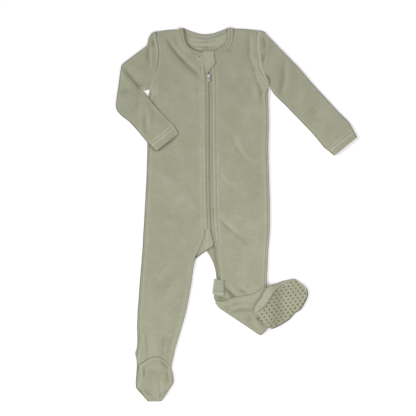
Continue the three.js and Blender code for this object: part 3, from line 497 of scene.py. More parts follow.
def crease_height(x, y, creases):
    """The height of all these creases at points in plan."""
    total = np.zeros_like(x)
    for c in creases:
        dx, dy = c["x2"] - c["x1"], c["y2"] - c["y1"]
        length = math.hypot(dx, dy)
        dx, dy = dx / length, dy / length
        along = (x - c["x1"]) * dx + (y - c["y1"]) * dy
        across = (x - c["x1"]) * dy - (y - c["y1"]) * dx
        t = np.clip(along / length, 0, 1)
        across = across - 4 * c["bow"] * t * (1 - t)
        past = np.maximum(0, np.maximum(-along, along - length))
        fade = 0.35 + 0.65 * np.sin(np.pi * t) ** 0.7
        width = c["width"]
        reach = np.exp(-np.abs(across / width) ** 1.7) * np.exp(-(past / (1.5 * width)) ** 2)
        total += c["height"] * fade * reach
    return total


def swell(x, y, seed=0.0):
    """The slow unevenness of cloth that lies loose, about 1 from peak to trough."""
    a = np.sin(x / 23.0 + 1.3 * np.sin(y / 61.0 + seed)) * np.sin(y / 47.0 + seed * 1.7)
    b = np.sin(x / 11.3 + y / 31.0 + 2.1 * seed) * np.sin(y / 19.0 - x / 53.0 + seed)
    c = np.sin((x + y) / 13.7 + 2.0 * np.sin(y / 29.0)) * np.sin((x - y) / 37.0 + seed)
    return 0.34 * a + 0.2 * b + 0.2 * c


def curve_points(points, per_span=24):
    """A smooth curve through points in plan, as many small steps."""
    p = np.array(points, float)
    if len(p) == 2:
        t = np.linspace(0, 1, per_span + 1)[:, None]
        return p[0] + (p[1] - p[0]) * t
    before = np.vstack([p[:1], p[:-1]])
    after = np.vstack([p[2:], p[-1:], p[-1:]])
    out = []
    for i in range(len(p) - 1):
        t = np.linspace(0, 1, per_span, endpoint=False)[:, None]
        v0 = (p[i + 1] - before[i]) / 2
        v1 = (after[i] - p[i]) / 2
        a = 2 * p[i] - 2 * p[i + 1] + v0 + v1
        b = -3 * p[i] + 3 * p[i + 1] - 2 * v0 - v1
        out.append(a * t**3 + b * t**2 + v0 * t + p[i])
    out.append(p[-1:])
    return np.vstack(out)


def evenly(points, count):
    """Points at even distances along a line of small steps."""
    steps = np.linalg.norm(np.diff(points, axis=0), axis=1)
    run = np.concatenate([[0], np.cumsum(steps)])
    at = np.linspace(0, run[-1], count)
    return np.stack([np.interp(at, run, points[:, k]) for k in range(points.shape[1])], axis=1)


SAMPLES = 25
EASE = 0.6


def smooth_rows(rows, at, new_at):
    """Rows of values at new places between the given ones, on a smooth curve that doesn't overshoot much."""
    rows = np.array(rows, float)
    gaps = np.diff(at)
    shape = (-1,) + (1,) * (rows.ndim - 1)
    slopes = np.diff(rows, axis=0) / gaps.reshape(shape)
    tangents = np.empty_like(rows)
    tangents[0], tangents[-1] = slopes[0], slopes[-1]
    if len(rows) > 2:
        before, after = gaps[:-1].reshape(shape), gaps[1:].reshape(shape)
        tangents[1:-1] = EASE * (slopes[:-1] * after + slopes[1:] * before) / (before + after)
    i = np.clip(np.searchsorted(at, new_at, side="right") - 1, 0, len(at) - 2)
    h = gaps[i].reshape(shape)
    t = ((new_at - at[i]) / gaps[i]).reshape(shape)
    a = rows[i] * (1 + 2 * t) * (1 - t) ** 2 + rows[i + 1] * t**2 * (3 - 2 * t)
    b = h * tangents[i] * t * (1 - t) ** 2 - h * tangents[i + 1] * t**2 * (1 - t)
    return a + b


def fill(sections, values=None, step=ROW_STEP):
    """Close rows between the given sections: their points in plan, and each named value for every row."""
    sampled = np.array([evenly(curve_points(s), SAMPLES) for s in sections])
    gaps = np.linalg.norm(np.diff(sampled, axis=0), axis=2).max(axis=1)
    at = np.concatenate([[0], np.cumsum(np.maximum(gaps, 0.01))])
    count = max(2, int(math.ceil(at[-1] / step)) + 1)
    new_at = np.linspace(0, at[-1], count)
    filled = {"plan": smooth_rows(sampled, at, new_at), "along": new_at}
    for name in (values[0] if values else {}):
        filled[name] = np.interp(new_at, at, [v[name] for v in values])
    steps = np.linalg.norm(np.diff(filled["plan"], axis=1), axis=2)
    filled["length"] = steps.sum(axis=1)
    return filled


def place(filled, u):
    """The plan points of each row at lengths u along it, one row of lengths for each."""
    rows, columns = u.shape
    at = np.clip(u / filled["length"][:, None], 0, 1) * (SAMPLES - 1)
    low = np.clip(at.astype(int), 0, SAMPLES - 2)
    t = (at - low)[..., None]
    row = np.arange(rows)[:, None]
    plan = filled["plan"]
    return plan[row, low] * (1 - t) + plan[row, low + 1] * t


def wall(filled, outer, inner, ring=False, base=None, tone=None, inner_tone=None, uv="plan"):
    """A closed wall between its outer and inner faces, each a pair of grids: lengths u and heights z. Gives
    its points, faces, tone of colour at each point and flat cloth coordinates."""
    grids = []
    for u, z in (outer, inner):
        at = place(filled, u)
        under = place(filled, outer[0])
        lift = 0 if base is None else base(under[..., 0], under[..., 1])
        grids.append(np.dstack([at, z + lift]))
    rows, columns = grids[0].shape[:2]
    points = np.concatenate([g.reshape(-1, 3) for g in grids])
    ids = np.arange(rows * columns).reshape(rows, columns)
    if ring:
        ids = np.concatenate([ids, ids[:, :1]], axis=1)
    out_quads = np.stack([ids[:-1, :-1], ids[:-1, 1:], ids[1:, 1:], ids[1:, :-1]], axis=-1).reshape(-1, 4)
    in_quads = out_quads[:, ::-1] + rows * columns
    edges = [(ids[0], False), (ids[-1], True)]
    if not ring:
        edges += [(ids[:, 0], True), (ids[:, -1], False)]
    rims = []
    for edge, turn in edges:
        below = edge + rows * columns
        quad = np.stack([edge[:-1], below[:-1], below[1:], edge[1:]], axis=-1)
        rims.append(quad[:, ::-1] if turn else quad)
    faces = np.concatenate([out_quads, in_quads, *rims])
    if tone is None:
        tone = np.zeros((rows, columns))
    within = tone if inner_tone is None else inner_tone
    tones = np.concatenate([tone.reshape(-1), within.reshape(-1)])
    if uv == "plan":
        flat = points[:, :2]
    else:
        across = outer[0] - filled["length"][:, None] / 2
        along = np.broadcast_to(filled["along"][:, None], across.shape)
        flat = np.stack([across, along], axis=-1).reshape(-1, 2)
        flat = np.concatenate([flat, flat])
    return points, faces, tones, flat


def build(name, parts, material):
    """One mesh object from walls, in metres, with its tones and flat coordinates."""
    points, faces, tones, flats, start = [], [], [], [], 0
    for p, f, t, uv in parts:
        points.append(p)
        faces.append(f + start)
        tones.append(t)
        flats.append(uv)
        start += len(p)
    points = np.concatenate(points) * MM
    faces = np.concatenate(faces)
    tones = np.concatenate(tones)
    flats = np.concatenate(flats) * MM
    a, b, c = points[faces[:, 0]], points[faces[:, 1]], points[faces[:, 2]]
    d = points[faces[:, 3]]
    volume = (a * np.cross(b, c)).sum() + (a * np.cross(c, d)).sum()
    if volume < 0:
        faces = faces[:, ::-1]
    mesh = bpy.data.meshes.new(name)
    mesh.from_pydata(points.tolist(), [], faces.tolist())
    mesh.validate()
    attribute = mesh.attributes.new("tone", "FLOAT", "POINT")
    attribute.data.foreach_set("value", tones.astype(np.float32))
    layer = mesh.uv_layers.new(name="cloth")
    corner = np.empty(len(mesh.loops), np.int32)
    mesh.loops.foreach_get("vertex_index", corner)
    layer.data.foreach_set("uv", flats[corner].astype(np.float32).ravel())
    mesh.materials.append(material)
    mesh.polygons.foreach_set("use_smooth", [True] * len(mesh.polygons))
    obj = bpy.data.objects.new(name, mesh)
    bpy.context.scene.collection.objects.link(obj)
    return obj


EDGE_ANGLES = np.arange(90, 271, 22.5)


def rolled_edge(height, lip, roll):
    """Half a roll of cloth, from its lip on top, round the edge at length 0, to the underside, row by row.
    A roll of 0 is a flat edge."""
    height = np.broadcast_to(np.asarray(height, float), roll.shape)
    lip = np.broadcast_to(np.asarray(lip, float), roll.shape)
    radius = height / 2
    lips = np.linspace(1, 0, 4)[:-1]
    out_u, out_z, in_u, in_z = [], [], [], []
    for share in lips:
        out_u.append(radius + (lip - radius) * share)
        out_z.append(height)
        in_u.append(radius + (lip - radius) * share)
        in_z.append(height - WALL)
    for degrees in EDGE_ANGLES:
        cos, sin = math.cos(math.radians(degrees)), math.sin(math.radians(degrees))
        out_u.append(radius + radius * cos)
        out_z.append(radius + radius * sin)
        in_u.append(radius + (radius - WALL) * cos)
        in_z.append(radius + (radius - WALL) * sin)
    steps = len(out_u)
    flat_out_z = [WALL * (1 - i / (steps - 1)) for i in range(steps)]
    flat_in_u = [(i + 1) * radius / (steps + 1) for i in range(steps)]
    outer_u = np.stack([u * roll for u in out_u], axis=1)
    outer_z = np.stack([mix(f, z, roll) for f, z in zip(flat_out_z, out_z)], axis=1)
    inner_u = np.stack([mix(f, u, roll) for f, u in zip(flat_in_u, in_u)], axis=1)
    inner_z = np.stack([mix(WALL, z, roll) for z in in_z], axis=1)
    return outer_u, outer_z, inner_u, inner_z


def columns_for(filled):
    return max(6, int(filled["length"].max() / COLUMN_STEP))


# The painted tone round a rolled edge, from its lip on top to the underside: painted shade for an edge in
# shade, and painted highlight for a lit one.
SHADED_EDGE = np.array([0.5, 0.5, 0.3, -0.1, -0.6, -0.95, -1.1, -1.1, -1, -1, -1, -1])
LIT_EDGE = np.array([0.5, 0.6, 0.6, 0.6, 0.5, 0.4, 0.2, 0, -0.3, -0.5, -0.5, -0.5])


def dents(x, y):
    """How far the underside stands off the surface where the cloth is creased."""
    return np.clip(0.7 * swell(x, y, 3.0) - 0.2 * crease_height(x, y, CREASES) - 0.25, 0, DENT_LIMIT)


def under_wall(filled, height, first_lip, first_roll, second_lip, second_roll,
               base=None, dark=(1, 1), inside=None):
    """A wall that lies flat below and rolls round one or both of its edges. Dark sets how far each rolled
    edge's painted tone goes from painted highlight to painted shade.
    """
    length = filled["length"][:, None]
    a = rolled_edge(height, first_lip, first_roll)
    b = rolled_edge(height, second_lip, second_roll)
    radius = np.asarray(height, float) / 2
    share = np.linspace(0, 1, columns_for(filled) + 1)[1:-1][None, :]
    middle = mix(radius + 0.8, length - radius - 0.8, share)
    zero = np.zeros_like(middle)
    outer_u = np.concatenate([a[0], middle, (length - b[0])[:, ::-1]], axis=1)
    under = place(filled, middle)
    dent = dents(under[..., 0], under[..., 1]) if inside else zero
    outer_z = np.concatenate([a[1], dent, b[1][:, ::-1]], axis=1)
    inner_u = np.concatenate([a[2], middle, (length - b[2])[:, ::-1]], axis=1)
    inner_z = np.concatenate([a[3], zero + WALL, b[3][:, ::-1]], axis=1)
    # Painted shade or painted highlight round each rolled edge, as dark sets.
    tone = np.zeros_like(outer_u)
    count = len(SHADED_EDGE)
    tone[:, :count] = mix(LIT_EDGE, SHADED_EDGE, dark[0]) * first_roll[:, None]
    tone[:, -count:] = mix(LIT_EDGE, SHADED_EDGE, dark[1])[::-1] * second_roll[:, None]
    inner_tone = tone.copy()
    # Painted shade on the underside where it stands off the surface.
    tone[:, count:-count] = -0.4 * dent
    if inside:
        at = place(filled, inner_u)
        folds, pale = inside(at[..., 0], at[..., 1])
        ends = [np.repeat(1 - roll[:, None], count, axis=1) for roll in (first_roll, second_roll)]
        flat = np.concatenate([ends[0], zero + 1, ends[1]], axis=1)
        inner_z = inner_z + np.maximum(-0.7, folds) * flat
        inner_tone = inner_tone + pale * flat
    return wall(filled, (outer_u, outer_z), (inner_u, inner_z), base=base, tone=tone, inner_tone=inner_tone)


def seam_shape(distance, dark=0.3, pale=0.5):
    """Height and tone beside a seam: a fine dip at it, darkened with painted shade, and a small ridge of the
    turned cloth beside it, lightened with a painted highlight.
    """
    past_seam = distance - SEAM_RIDGE
    dip = -0.15 * bell(distance, 0.9)
    ridge = 0.4 * bell(past_seam, 1.6)
    tone = -dark * bell(distance, 1.1) + pale * bell(past_seam, 1.8)
    return dip + ridge, tone


def top_wall(filled, height_at, base=None):
    """A wall that lies on top: height_at gives its outer face and tone from lengths and places."""
    length = filled["length"][:, None]
    count = columns_for(filled)
    fine = np.array([0, 0.8, 1.7, 2.8, 4.2])
    share = np.linspace(0, 1, count + 1)[1:-1][None, :]
    middle = mix(6.0, np.maximum(length - 6.0, 6.5), share)
    ends = np.broadcast_to(fine, (len(length), len(fine)))
    limit = np.minimum(1.0, length / 14.0)
    u = np.concatenate([ends * limit, mix(0, length, np.clip(middle / length, 0.0, 1.0)),
                        length - ends[:, ::-1] * limit], axis=1)
    u = np.sort(np.clip(u, 0, length), axis=1)
    at = place(filled, u)
    z, tone = height_at(u, length, at[..., 0], at[..., 1], filled)
    return wall(filled, (u, z), (u, z - WALL), base=base, tone=tone)


def tube(filled, height, creases, base=None, seam_end=False, dark=(1, 1), second_height=None):
    """A flattened tube of cloth, flat below, with its creases on top. Dark is how much painted shade each
    edge gets; below 0 the edge gets painted light instead. The second edge may be lower than the first."""
    length = filled["length"][:, None]
    rows = len(length)
    radius = height / 2
    second_height = second_height or height
    second = second_height / 2
    low = np.linspace(0, 1, 8)[None, :]
    high = np.linspace(0, 1, columns_for(filled) + 1)[None, :]
    right = np.radians([-67.5, -45, -22.5, 0, 22.5, 45, 67.5])
    left = np.pi - right[::-1]
    thin = radius - WALL
    thin_second = second - min(WALL, 0.8 * second)
    low_u = mix(radius, length - second, low) * np.ones((rows, 1))
    high_u = mix(length - second, radius, high)
    at = place(filled, high_u)
    x, y = at[..., 0], at[..., 1]
    edge = smooth(np.minimum(high, 1 - high) * 8)
    lift = (crease_height(x, y, creases) + 0.5 * swell(x, y, 0.7)) * edge
    crown = 0.5 * np.sin(np.pi * high)
    tone = np.zeros_like(high_u)
    ends = [(filled["along"], 0.0, 0.9)]
    if seam_end:
        ends.append((filled["along"][-1] - filled["along"], 0.1, 0.8))
    for distance, seam_dark, seam_pale in ends:
        shape, shade = seam_shape(distance, seam_dark, seam_pale)
        lift = lift + shape[:, None]
        tone = tone + shade[:, None]
    # Painted shade and highlight from the height of the creases and seams.
    tone = tone + CREASE_PAINTED_SHADE * lift
    rise = mix(second_height, height, smooth(high * length / 24))
    high_z = np.maximum(rise + lift + crown, LOWEST_TOP)
    one = np.ones((rows, 1))
    outer_u = np.concatenate([low_u, length - second + second * np.cos(right) * one, high_u,
                              radius + radius * np.cos(left) * one], axis=1)
    under = place(filled, low_u)
    dent = 0.8 * dents(under[..., 0], under[..., 1])
    outer_z = np.concatenate([dent, (second + second * np.sin(right)) * one, high_z,
                              (radius + radius * np.sin(left)) * one], axis=1)
    inner_u = np.concatenate([low_u, length - second + thin_second * np.cos(right) * one, high_u,
                              radius + thin * np.cos(left) * one], axis=1)
    inner_z = np.concatenate([0 * low_u + WALL, (second + thin_second * np.sin(right)) * one, high_z - WALL,
                              (radius + thin * np.sin(left)) * one], axis=1)
    # Painted highlight along each edge, just inside it.
    tone = tone + 0.35 * bell(np.minimum(high, 1 - high) * (length - height) - 2.2, 1.4)
    # Painted shade round each edge, and painted shade on the underside where it stands off the surface.
    shade = -1.0 * np.abs(np.cos(right)) ** 0.9 * one
    tones = np.concatenate([-0.4 * dent, dark[1] * shade, tone, dark[0] * shade[:, ::-1]], axis=1)
    return wall(filled, (outer_u, outer_z), (inner_u, inner_z), ring=True, base=base, tone=tones, uv="along")


def bar(sections, faces, profile, columns=12, step=2.0):
    """A strip of cloth between its lower and upper face. The profile gives height and tone across it."""
    low, high = faces
    filled = fill(sections, step=step)
    share = np.linspace(0, 1, columns + 1)[None, :]
    u = share * filled["length"][:, None]
    rise, tone = profile(share * np.ones_like(u), filled)
    edge = 0.5 * (1 - np.minimum(1, np.minimum(u, filled["length"][:, None] - u) / 0.7)) ** 2
    z = high + rise - edge
    return wall(filled, (u, z), (u, np.full_like(u, low)), tone=tone, uv="along")


# Materials


def principled(name, roughness, metallic=0.0):
    material = bpy.data.materials.new(name)
    material.use_nodes = True
    shader = material.node_tree.nodes["Principled BSDF"]
    shader.inputs["Roughness"].default_value = roughness
    shader.inputs["Metallic"].default_value = metallic
    return material, shader


def maths(tree, operation, first, second=None):
    node = tree.nodes.new("ShaderNodeMath")
    node.operation = operation
    for socket, value in zip(node.inputs, (first, second)):
        if value is None:
            continue
        if isinstance(value, (int, float)):
            socket.default_value = value
        else:
            tree.links.new(value, socket)
    return node.outputs[0]


def noise(tree, vector, scale, detail=2.0, roughness=0.5):
    node = tree.nodes.new("ShaderNodeTexNoise")
    node.inputs["Scale"].default_value = scale
    node.inputs["Detail"].default_value = detail
    node.inputs["Roughness"].default_value = roughness
    tree.links.new(vector, node.inputs["Vector"])
    return node.outputs[0]


def stretched(tree, vector, factors):
    node = tree.nodes.new("ShaderNodeVectorMath")
    node.operation = "MULTIPLY"
    tree.links.new(vector, node.inputs[0])
    node.inputs[1].default_value = factors
    return node.outputs[0]


def add_bump(tree, shader, height, strength, distance):
    node = tree.nodes.new("ShaderNodeBump")
    node.inputs["Strength"].default_value = strength
    node.inputs["Distance"].default_value = distance
    tree.links.new(height, node.inputs["Height"])
    tree.links.new(node.outputs[0], shader.inputs["Normal"])


def colour_mix(tree, factor, first, second):
    node = tree.nodes.new("ShaderNodeMix")
    node.data_type = "RGBA"
    for socket, value in ((node.inputs[0], factor), (node.inputs[6], first), (node.inputs[7], second)):
        if isinstance(value, tuple):
            socket.default_value = (*value, 1.0)
        elif isinstance(value, (int, float)):
            socket.default_value = value
        else:
            tree.links.new(value, socket)
    return node.outputs[2]


def cloth_material(name, colour, light, dark, wale=1.25, depth=0.5, mottle=0.5):
    """Fine knit: wales along the cloth, loops across them, fuzz, and faint pale patches where the nap
    catches the light."""
    material, shader = principled(name, 0.88)
    tree = material.node_tree
    flat = tree.nodes.new("ShaderNodeUVMap")
    flat.uv_map = "cloth"
    split = tree.nodes.new("ShaderNodeSeparateXYZ")
    tree.links.new(flat.outputs[0], split.inputs[0])
    coords = tree.nodes.new("ShaderNodeTexCoord").outputs["Object"]

    wales = maths(tree, "SINE", maths(tree, "MULTIPLY", split.outputs[0], 2 * math.pi / (wale * MM)))
    loops = maths(tree, "SINE", maths(tree, "MULTIPLY", split.outputs[1], 2 * math.pi / (0.8 * wale * MM)))
    knit = maths(tree, "ADD", maths(tree, "MULTIPLY", wales, 0.5), maths(tree, "MULTIPLY", loops, 0.2))
    fuzz = noise(tree, coords, 1500.0, 3.0, 0.6)
    slub = noise(tree, coords, 260.0, 3.0, 0.6)
    height = maths(tree, "ADD", maths(tree, "MULTIPLY", knit, 0.35), maths(tree, "MULTIPLY", fuzz, 0.5))
    height = maths(tree, "ADD", height, maths(tree, "MULTIPLY", slub, 0.6))
    add_bump(tree, shader, height, depth, 0.6 * MM)

    broad = noise(tree, coords, 16.0, 4.0, 0.55)
    patches = noise(tree, coords, 55.0, 5.0, 0.65)
    courses = noise(tree, stretched(tree, coords, (0.14, 1.0, 0.0)), 330.0, 2.0, 0.5)
    patchy = maths(tree, "SUBTRACT", maths(tree, "MULTIPLY", broad, patches), 0.24)
    pale = maths(tree, "MULTIPLY", patchy, 3.6 * mottle)
    for grain, weight in ((slub, 0.7), (courses, 0.6)):
        pale = maths(tree, "ADD", pale, maths(tree, "MULTIPLY", maths(tree, "SUBTRACT", grain, 0.5), weight))
    # The tone attribute carries painted highlight and painted shade: above 0 it mixes in the light colour,
    # below 0 the dark one.
    tone = tree.nodes.new("ShaderNodeAttribute")
    tone.attribute_name = "tone"
    up = maths(tree, "MAXIMUM", maths(tree, "ADD", tone.outputs["Fac"], pale), 0.0)
    faint = maths(tree, "ADD", tone.outputs["Fac"], maths(tree, "MULTIPLY", pale, 0.3))
    down = maths(tree, "MAXIMUM", maths(tree, "MULTIPLY", faint, -1.0), 0.0)
    lit = colour_mix(tree, maths(tree, "MINIMUM", up, 1.0), colour, light)
    base = colour_mix(tree, maths(tree, "MINIMUM", down, 1.0), lit, dark)
    tree.links.new(base, shader.inputs["Base Color"])
    shader.inputs["Specular IOR Level"].default_value = 0.2
    shader.inputs["Sheen Weight"].default_value = 0.22
    shader.inputs["Sheen Roughness"].default_value = 0.45
    shader.inputs["Sheen Tint"].default_value = (0.86, 0.88, 0.78, 1.0)
    return material


def metal_material(name, recess=None):
    """Satin nickel. The recess is a place and radius in metres where the metal is darkened with painted
    shade.
    """
    material, shader = principled(name, 0.28, 1.0)
    tree = material.node_tree
    coords = tree.nodes.new("ShaderNodeTexCoord").outputs["Object"]
    wear = noise(tree, coords, 900.0, 3.0, 0.6)
    base = colour_mix(tree, wear, NICKEL, NICKEL_WORN)
    if recess:
        away = tree.nodes.new("ShaderNodeVectorMath")
        away.operation = "DISTANCE"
        tree.links.new(coords, away.inputs[0])
        away.inputs[1].default_value = recess[0]
        near = maths(tree, "LESS_THAN", away.outputs["Value"], recess[1])
        base = colour_mix(tree, near, base, NICKEL_SHADE)
    tree.links.new(base, shader.inputs["Base Color"])
    add_bump(tree, shader, wear, 0.15, 0.1 * MM)
    return material


def plain_material(name, colour, second, roughness, scale):
    """Moulded plastic, thread or printed rubber, with a fine unevenness."""
    material, shader = principled(name, roughness)
    tree = material.node_tree
    coords = tree.nodes.new("ShaderNodeTexCoord").outputs["Object"]
    grain = noise(tree, coords, scale, 3.0, 0.6)
    tree.links.new(colour_mix(tree, grain, colour, second), shader.inputs["Base Color"])
    add_bump(tree, shader, grain, 0.3, 0.2 * MM)
    return material


KNIT = cloth_material("sage_knit", SAGE, SAGE_LIGHT, SAGE_DARK, mottle=0.65)
SOLE_KNIT = cloth_material("sole_knit", SOLE_SAGE, SAGE_LIGHT, SAGE_DARK, mottle=0.7)
BINDING_KNIT = cloth_material("binding_knit", BINDING_WARM, BINDING_LIGHT, BINDING_DARK, wale=1.0)
TAPE_WEAVE = cloth_material("neck_tape_weave", TAPE_MINT, TAPE_LIGHT, TAPE_SHADE, wale=0.7)
ZIP_WEAVE = cloth_material("zip_tape_weave", ZIP_SAGE, SAGE_LIGHT, SAGE_DARK, wale=0.6)
COIL = plain_material("coil_nylon", COIL_SAGE, COIL_DARK, 0.45, 1200.0)
THREAD = plain_material("thread", THREAD_SAGE, THREAD_LIGHT, 0.7, 2500.0)
RUBBER = plain_material("grip_rubber", DOT_OLIVE, DOT_LIGHT, 0.6, 900.0)
METAL = metal_material("nickel")
PULL_METAL = metal_material("nickel_pull", PULL_HOLE)


# Body


def inside_neck(x, y):
    """The creases of the back's inner face, where it shows in the neck, and its tone: painted light that
    lifts the shade in the neck, and painted shade and highlight on the creases.
    """
    folds = crease_height(x, y, INSIDE_CREASES)
    within = smooth((y - 300) / 8) * smooth((46 - np.abs(x + 3)) / 8)
    return folds, 0.7 * within + 0.5 * folds


def half_back(rows, neck, dark):
    sections = [between(r, "side", "back") for r in rows]
    sections[0] = neck
    filled = fill(sections, rows)
    side, inner = filled["side_roll"], filled["inner_roll"]
    return under_wall(filled, EDGE_HEIGHT, LIP, side, LIP, inner, dark=dark, inside=inside_neck)


back = build("back_cloth", [
    half_back(RIGHT_HALF + BACK_ANKLE, BACK_NECK_RIGHT, (1, 0.2)),
    half_back(LEFT_HALF, BACK_NECK_LEFT, (0.2, 1)),
], KNIT)


# The forearm's middle line, from the elbow to the cuff's hem.
FOREARM_START = (-136, 200)
FOREARM_DIRECTION = (0.678, -0.735)
FOREARM_LENGTH = 89
FOREARM_HALF_WIDTH = 31


def pressed(x, y):
    """How far the forearm presses the front down."""
    (start_x, start_y), (dx, dy) = FOREARM_START, FOREARM_DIRECTION
    along = dx * (x - start_x) + dy * (y - start_y)
    across = np.abs(dx * (y - start_y) - dy * (x - start_x))
    return PRESSED * smooth((FOREARM_HALF_WIDTH - across) / 6) * smooth((FOREARM_LENGTH - along) / 6)


def front_height(u, length, x, y, filled):
    """The front's outer face: level with the rolled edge at its seam, and higher within. Its tone is painted
    shade and highlight at the seams and on the creases.
    """
    side_roll = filled["side_roll"][:, None]
    inner_roll = filled["inner_roll"][:, None]
    rise = filled["rise"][:, None]
    to_inner = length - u
    side_crown = mix(smooth(u / CROWN_REACH), 1, 1 - side_roll)
    inner_crown = mix(1, smooth(to_inner / CROWN_REACH), inner_roll)
    folds = crease_height(x, y, CREASES) + 0.55 * swell(x, y)
    margin = smooth(u / 9) * smooth(to_inner / 5)
    side_seam, side_tone = seam_shape(u, 0.12 + 0.25 * side_roll)
    inner_seam, inner_tone = seam_shape(to_inner)
    z = mix(np.minimum(EDGE_HEIGHT, rise), rise, np.minimum(side_crown, inner_crown))
    z = z + folds * margin + side_seam + inner_seam - pressed(x, y)
    return np.maximum(z, LOWEST_TOP), side_tone + inner_tone + CREASE_PAINTED_SHADE * folds * margin


def front(name, rows, last_section):
    sections = [drawn_in(*between(r, "side", "front"), mix(-MEET, LIP, r["side_roll"]), -MEET) for r in rows]
    filled = fill(sections + [last_section], rows + [rows[-1]])
    return build(name, [top_wall(filled, front_height)], KNIT)


ankle_row = dict(RIGHT_HALF[-1], side_x=-136.5, side_y=-265, front_x=-67.5, front_y=-268)
front_right = front("front_right_cloth", RIGHT_HALF + [ankle_row], ANKLE_ARCH)
front_left = front("front_left_cloth", LEFT_HALF[:-1], LEFT_THIGH_END)


# Sleeves


def from_armhole(sections, towards):
    """The sections with one more at the start, so that the sleeve meets the body at the seam."""
    return [[(x + towards * MEET, y) for x, y in sections[0]]] + sections


def over_body(x, y):
    """How high the forearm lies: on the surface outside the body's right edge, and on the front within it."""
    return (CHEST_HEIGHT - PRESSED + 0.2) * smooth((x + 133) / 17) * smooth((228 - y) / 10)


def sleeve_tube(sections, height, creases=(), step=ROW_STEP, **looks):
    return tube(fill(sections, step=step), height, creases, **looks)


# Over the chest, the forearm's and cuff's inner edge get painted light instead of painted shade, to lift the
# shade where they meet the front.
on_chest = {"base": over_body, "second_height": FOREARM_EDGE}
sleeve_right = build("sleeve_right_cloth", [
    sleeve_tube(
        from_armhole(RIGHT_SLEEVE, 1), SLEEVE_HEIGHT, SLEEVE_CREASES,
        seam_end=True, dark=(1, -0.6), **on_chest,
    ),
], KNIT)
sleeve_left = build("sleeve_left_cloth", [
    sleeve_tube(from_armhole(LEFT_SLEEVE, -1), SLEEVE_HEIGHT, SLEEVE_CREASES, seam_end=True, dark=(0.4, 1)),
], KNIT)
cuff_right = build("cuff_right_cloth", [
    sleeve_tube(RIGHT_CUFF, CUFF_HEIGHT, step=1.2, dark=(1, -0.4), **on_chest),
], KNIT)
cuff_left = build("cuff_left_cloth", [sleeve_tube(LEFT_CUFF, CUFF_HEIGHT, step=1.2, dark=(0.4, 1))], KNIT)


# The folded left leg


def turned_leg():
    sections = [between(r, "top", "fold") for r in TURNED_LEG]
    filled = fill(sections, TURNED_LEG, step=2.5)
    length = filled["length"][:, None]
    height = filled["height"][:, None]
    edge = 3.0
    one = np.ones_like(length)
    share = np.linspace(0, 1, 30)[None, :]
    middle = mix(edge, length - edge, share)
    at = place(filled, middle)
    x, y = at[..., 0], at[..., 1]
    margin = smooth(share * 6) * smooth((1 - share) * 6)
    top = height + (crease_height(x, y, TURNED_CREASES) + 0.5 * swell(x, y, 2.0)) * margin
    first = np.array([0.0, 0.25, 0.8, 1.7])[None, :]
    first_z = height - 2.4 * (1 - first / edge) ** 2 * one
    turn = np.radians([70, 45, 20, 0, -20, -45, -70, -90])[None, :]
    centre = length - edge
    half = height / 2
    outer_u = np.concatenate([first * one, middle, centre + edge * np.cos(turn)], axis=1)
    outer_z = np.concatenate([first_z, top, half + half * np.sin(turn)], axis=1)
    thin = edge - WALL
    inner_first = np.array([1.2, 1.4, 1.9, 2.4])[None, :]
    inner_u = np.concatenate([inner_first * one, middle, centre + thin * np.cos(turn)], axis=1)
    inner_z = np.concatenate([first_z - WALL * 0.8, top - WALL, half + (half - WALL) * np.sin(turn)], axis=1)
    # Painted tone: highlight on the upper lip, shade round the fold's edge, and shade and highlight from the
    # creases.
    tone = np.zeros_like(outer_u)
    tone[:, :4] = 0.3
    tone[:, -8:] = np.array([-0.1, -0.8, -1.1, -1.1, -1, -1, -1, -1])
    tone[:, 4:-8] = CREASE_PAINTED_SHADE * (top - height)
    turned = wall(filled, (outer_u, outer_z), (inner_u, inner_z), tone=tone)
    return build("leg_left_turned_cloth", [turned], KNIT)


LAYERS_INSET = 4.5
LAYERS_LOW = 5.7


def folded_layers():
    rows = TURNED_LEG[3:]
    sections = [drawn_in(*between(r, "top", "fold"), LAYERS_INSET, LAYERS_INSET) for r in rows]
    filled = fill(sections, rows, step=4)
    length = filled["length"][:, None]
    share = np.linspace(0, 1, 20)[None, :]
    u = share * length
    edge = 1.1 * (1 - np.minimum(1, np.minimum(share, 1 - share) * 9)) ** 2
    z = filled["height"][:, None] - WALL - 0.9 - edge
    return build("leg_left_layers_cloth", [wall(filled, (u, z), (u, np.full_like(u, LAYERS_LOW)))], KNIT)


leg_turned = turned_leg()
leg_layers = folded_layers()


# Feet


def under_left_foot(x, y):
    return FOOT_REST * (1 - smooth((x - FOOT_DROP_START) / FOOT_DROP_LENGTH))


FOOT_LIP = 3.6
HEEL_RIM = 0.5
HEEL_BAND = 8.0
SOLE_REACH = 1.9
HEEL_GROOVE = 3.8
HEEL_LENGTH = 15.0


def left_foot_height(u, length, x, y, filled):
    to_end = length - u
    to_seam = np.minimum(u, to_end)
    ridge = 0.9 * bell(to_seam - 2.2, 1.5)
    dip = -0.7 * bell(to_seam, 0.8)
    along = filled["along"][:, None]
    to_heel = np.minimum(along, to_end + 40 * smooth((along - HEEL_LENGTH) / 12))
    rim = bell(to_heel - 1.0, 1.2)
    groove = bell(to_heel - HEEL_GROOVE, 0.9)
    z = FOOT_HEIGHT + 0.7 * smooth(u / 12) * smooth(to_end / 12) + ridge + dip + 0.5 * rim - 0.8 * groove
    # Painted tone: highlight on the ridge beside each seam and on the heel's rim, shade at the seams and in
    # the heel's groove.
    tone = 0.5 * ridge - 0.9 * bell(to_seam, 1.0) + 0.8 * rim - 1.1 * groove
    return z + 0.5 * swell(x, y, 4.0) * smooth(u / 9) * smooth(to_end / 9), tone


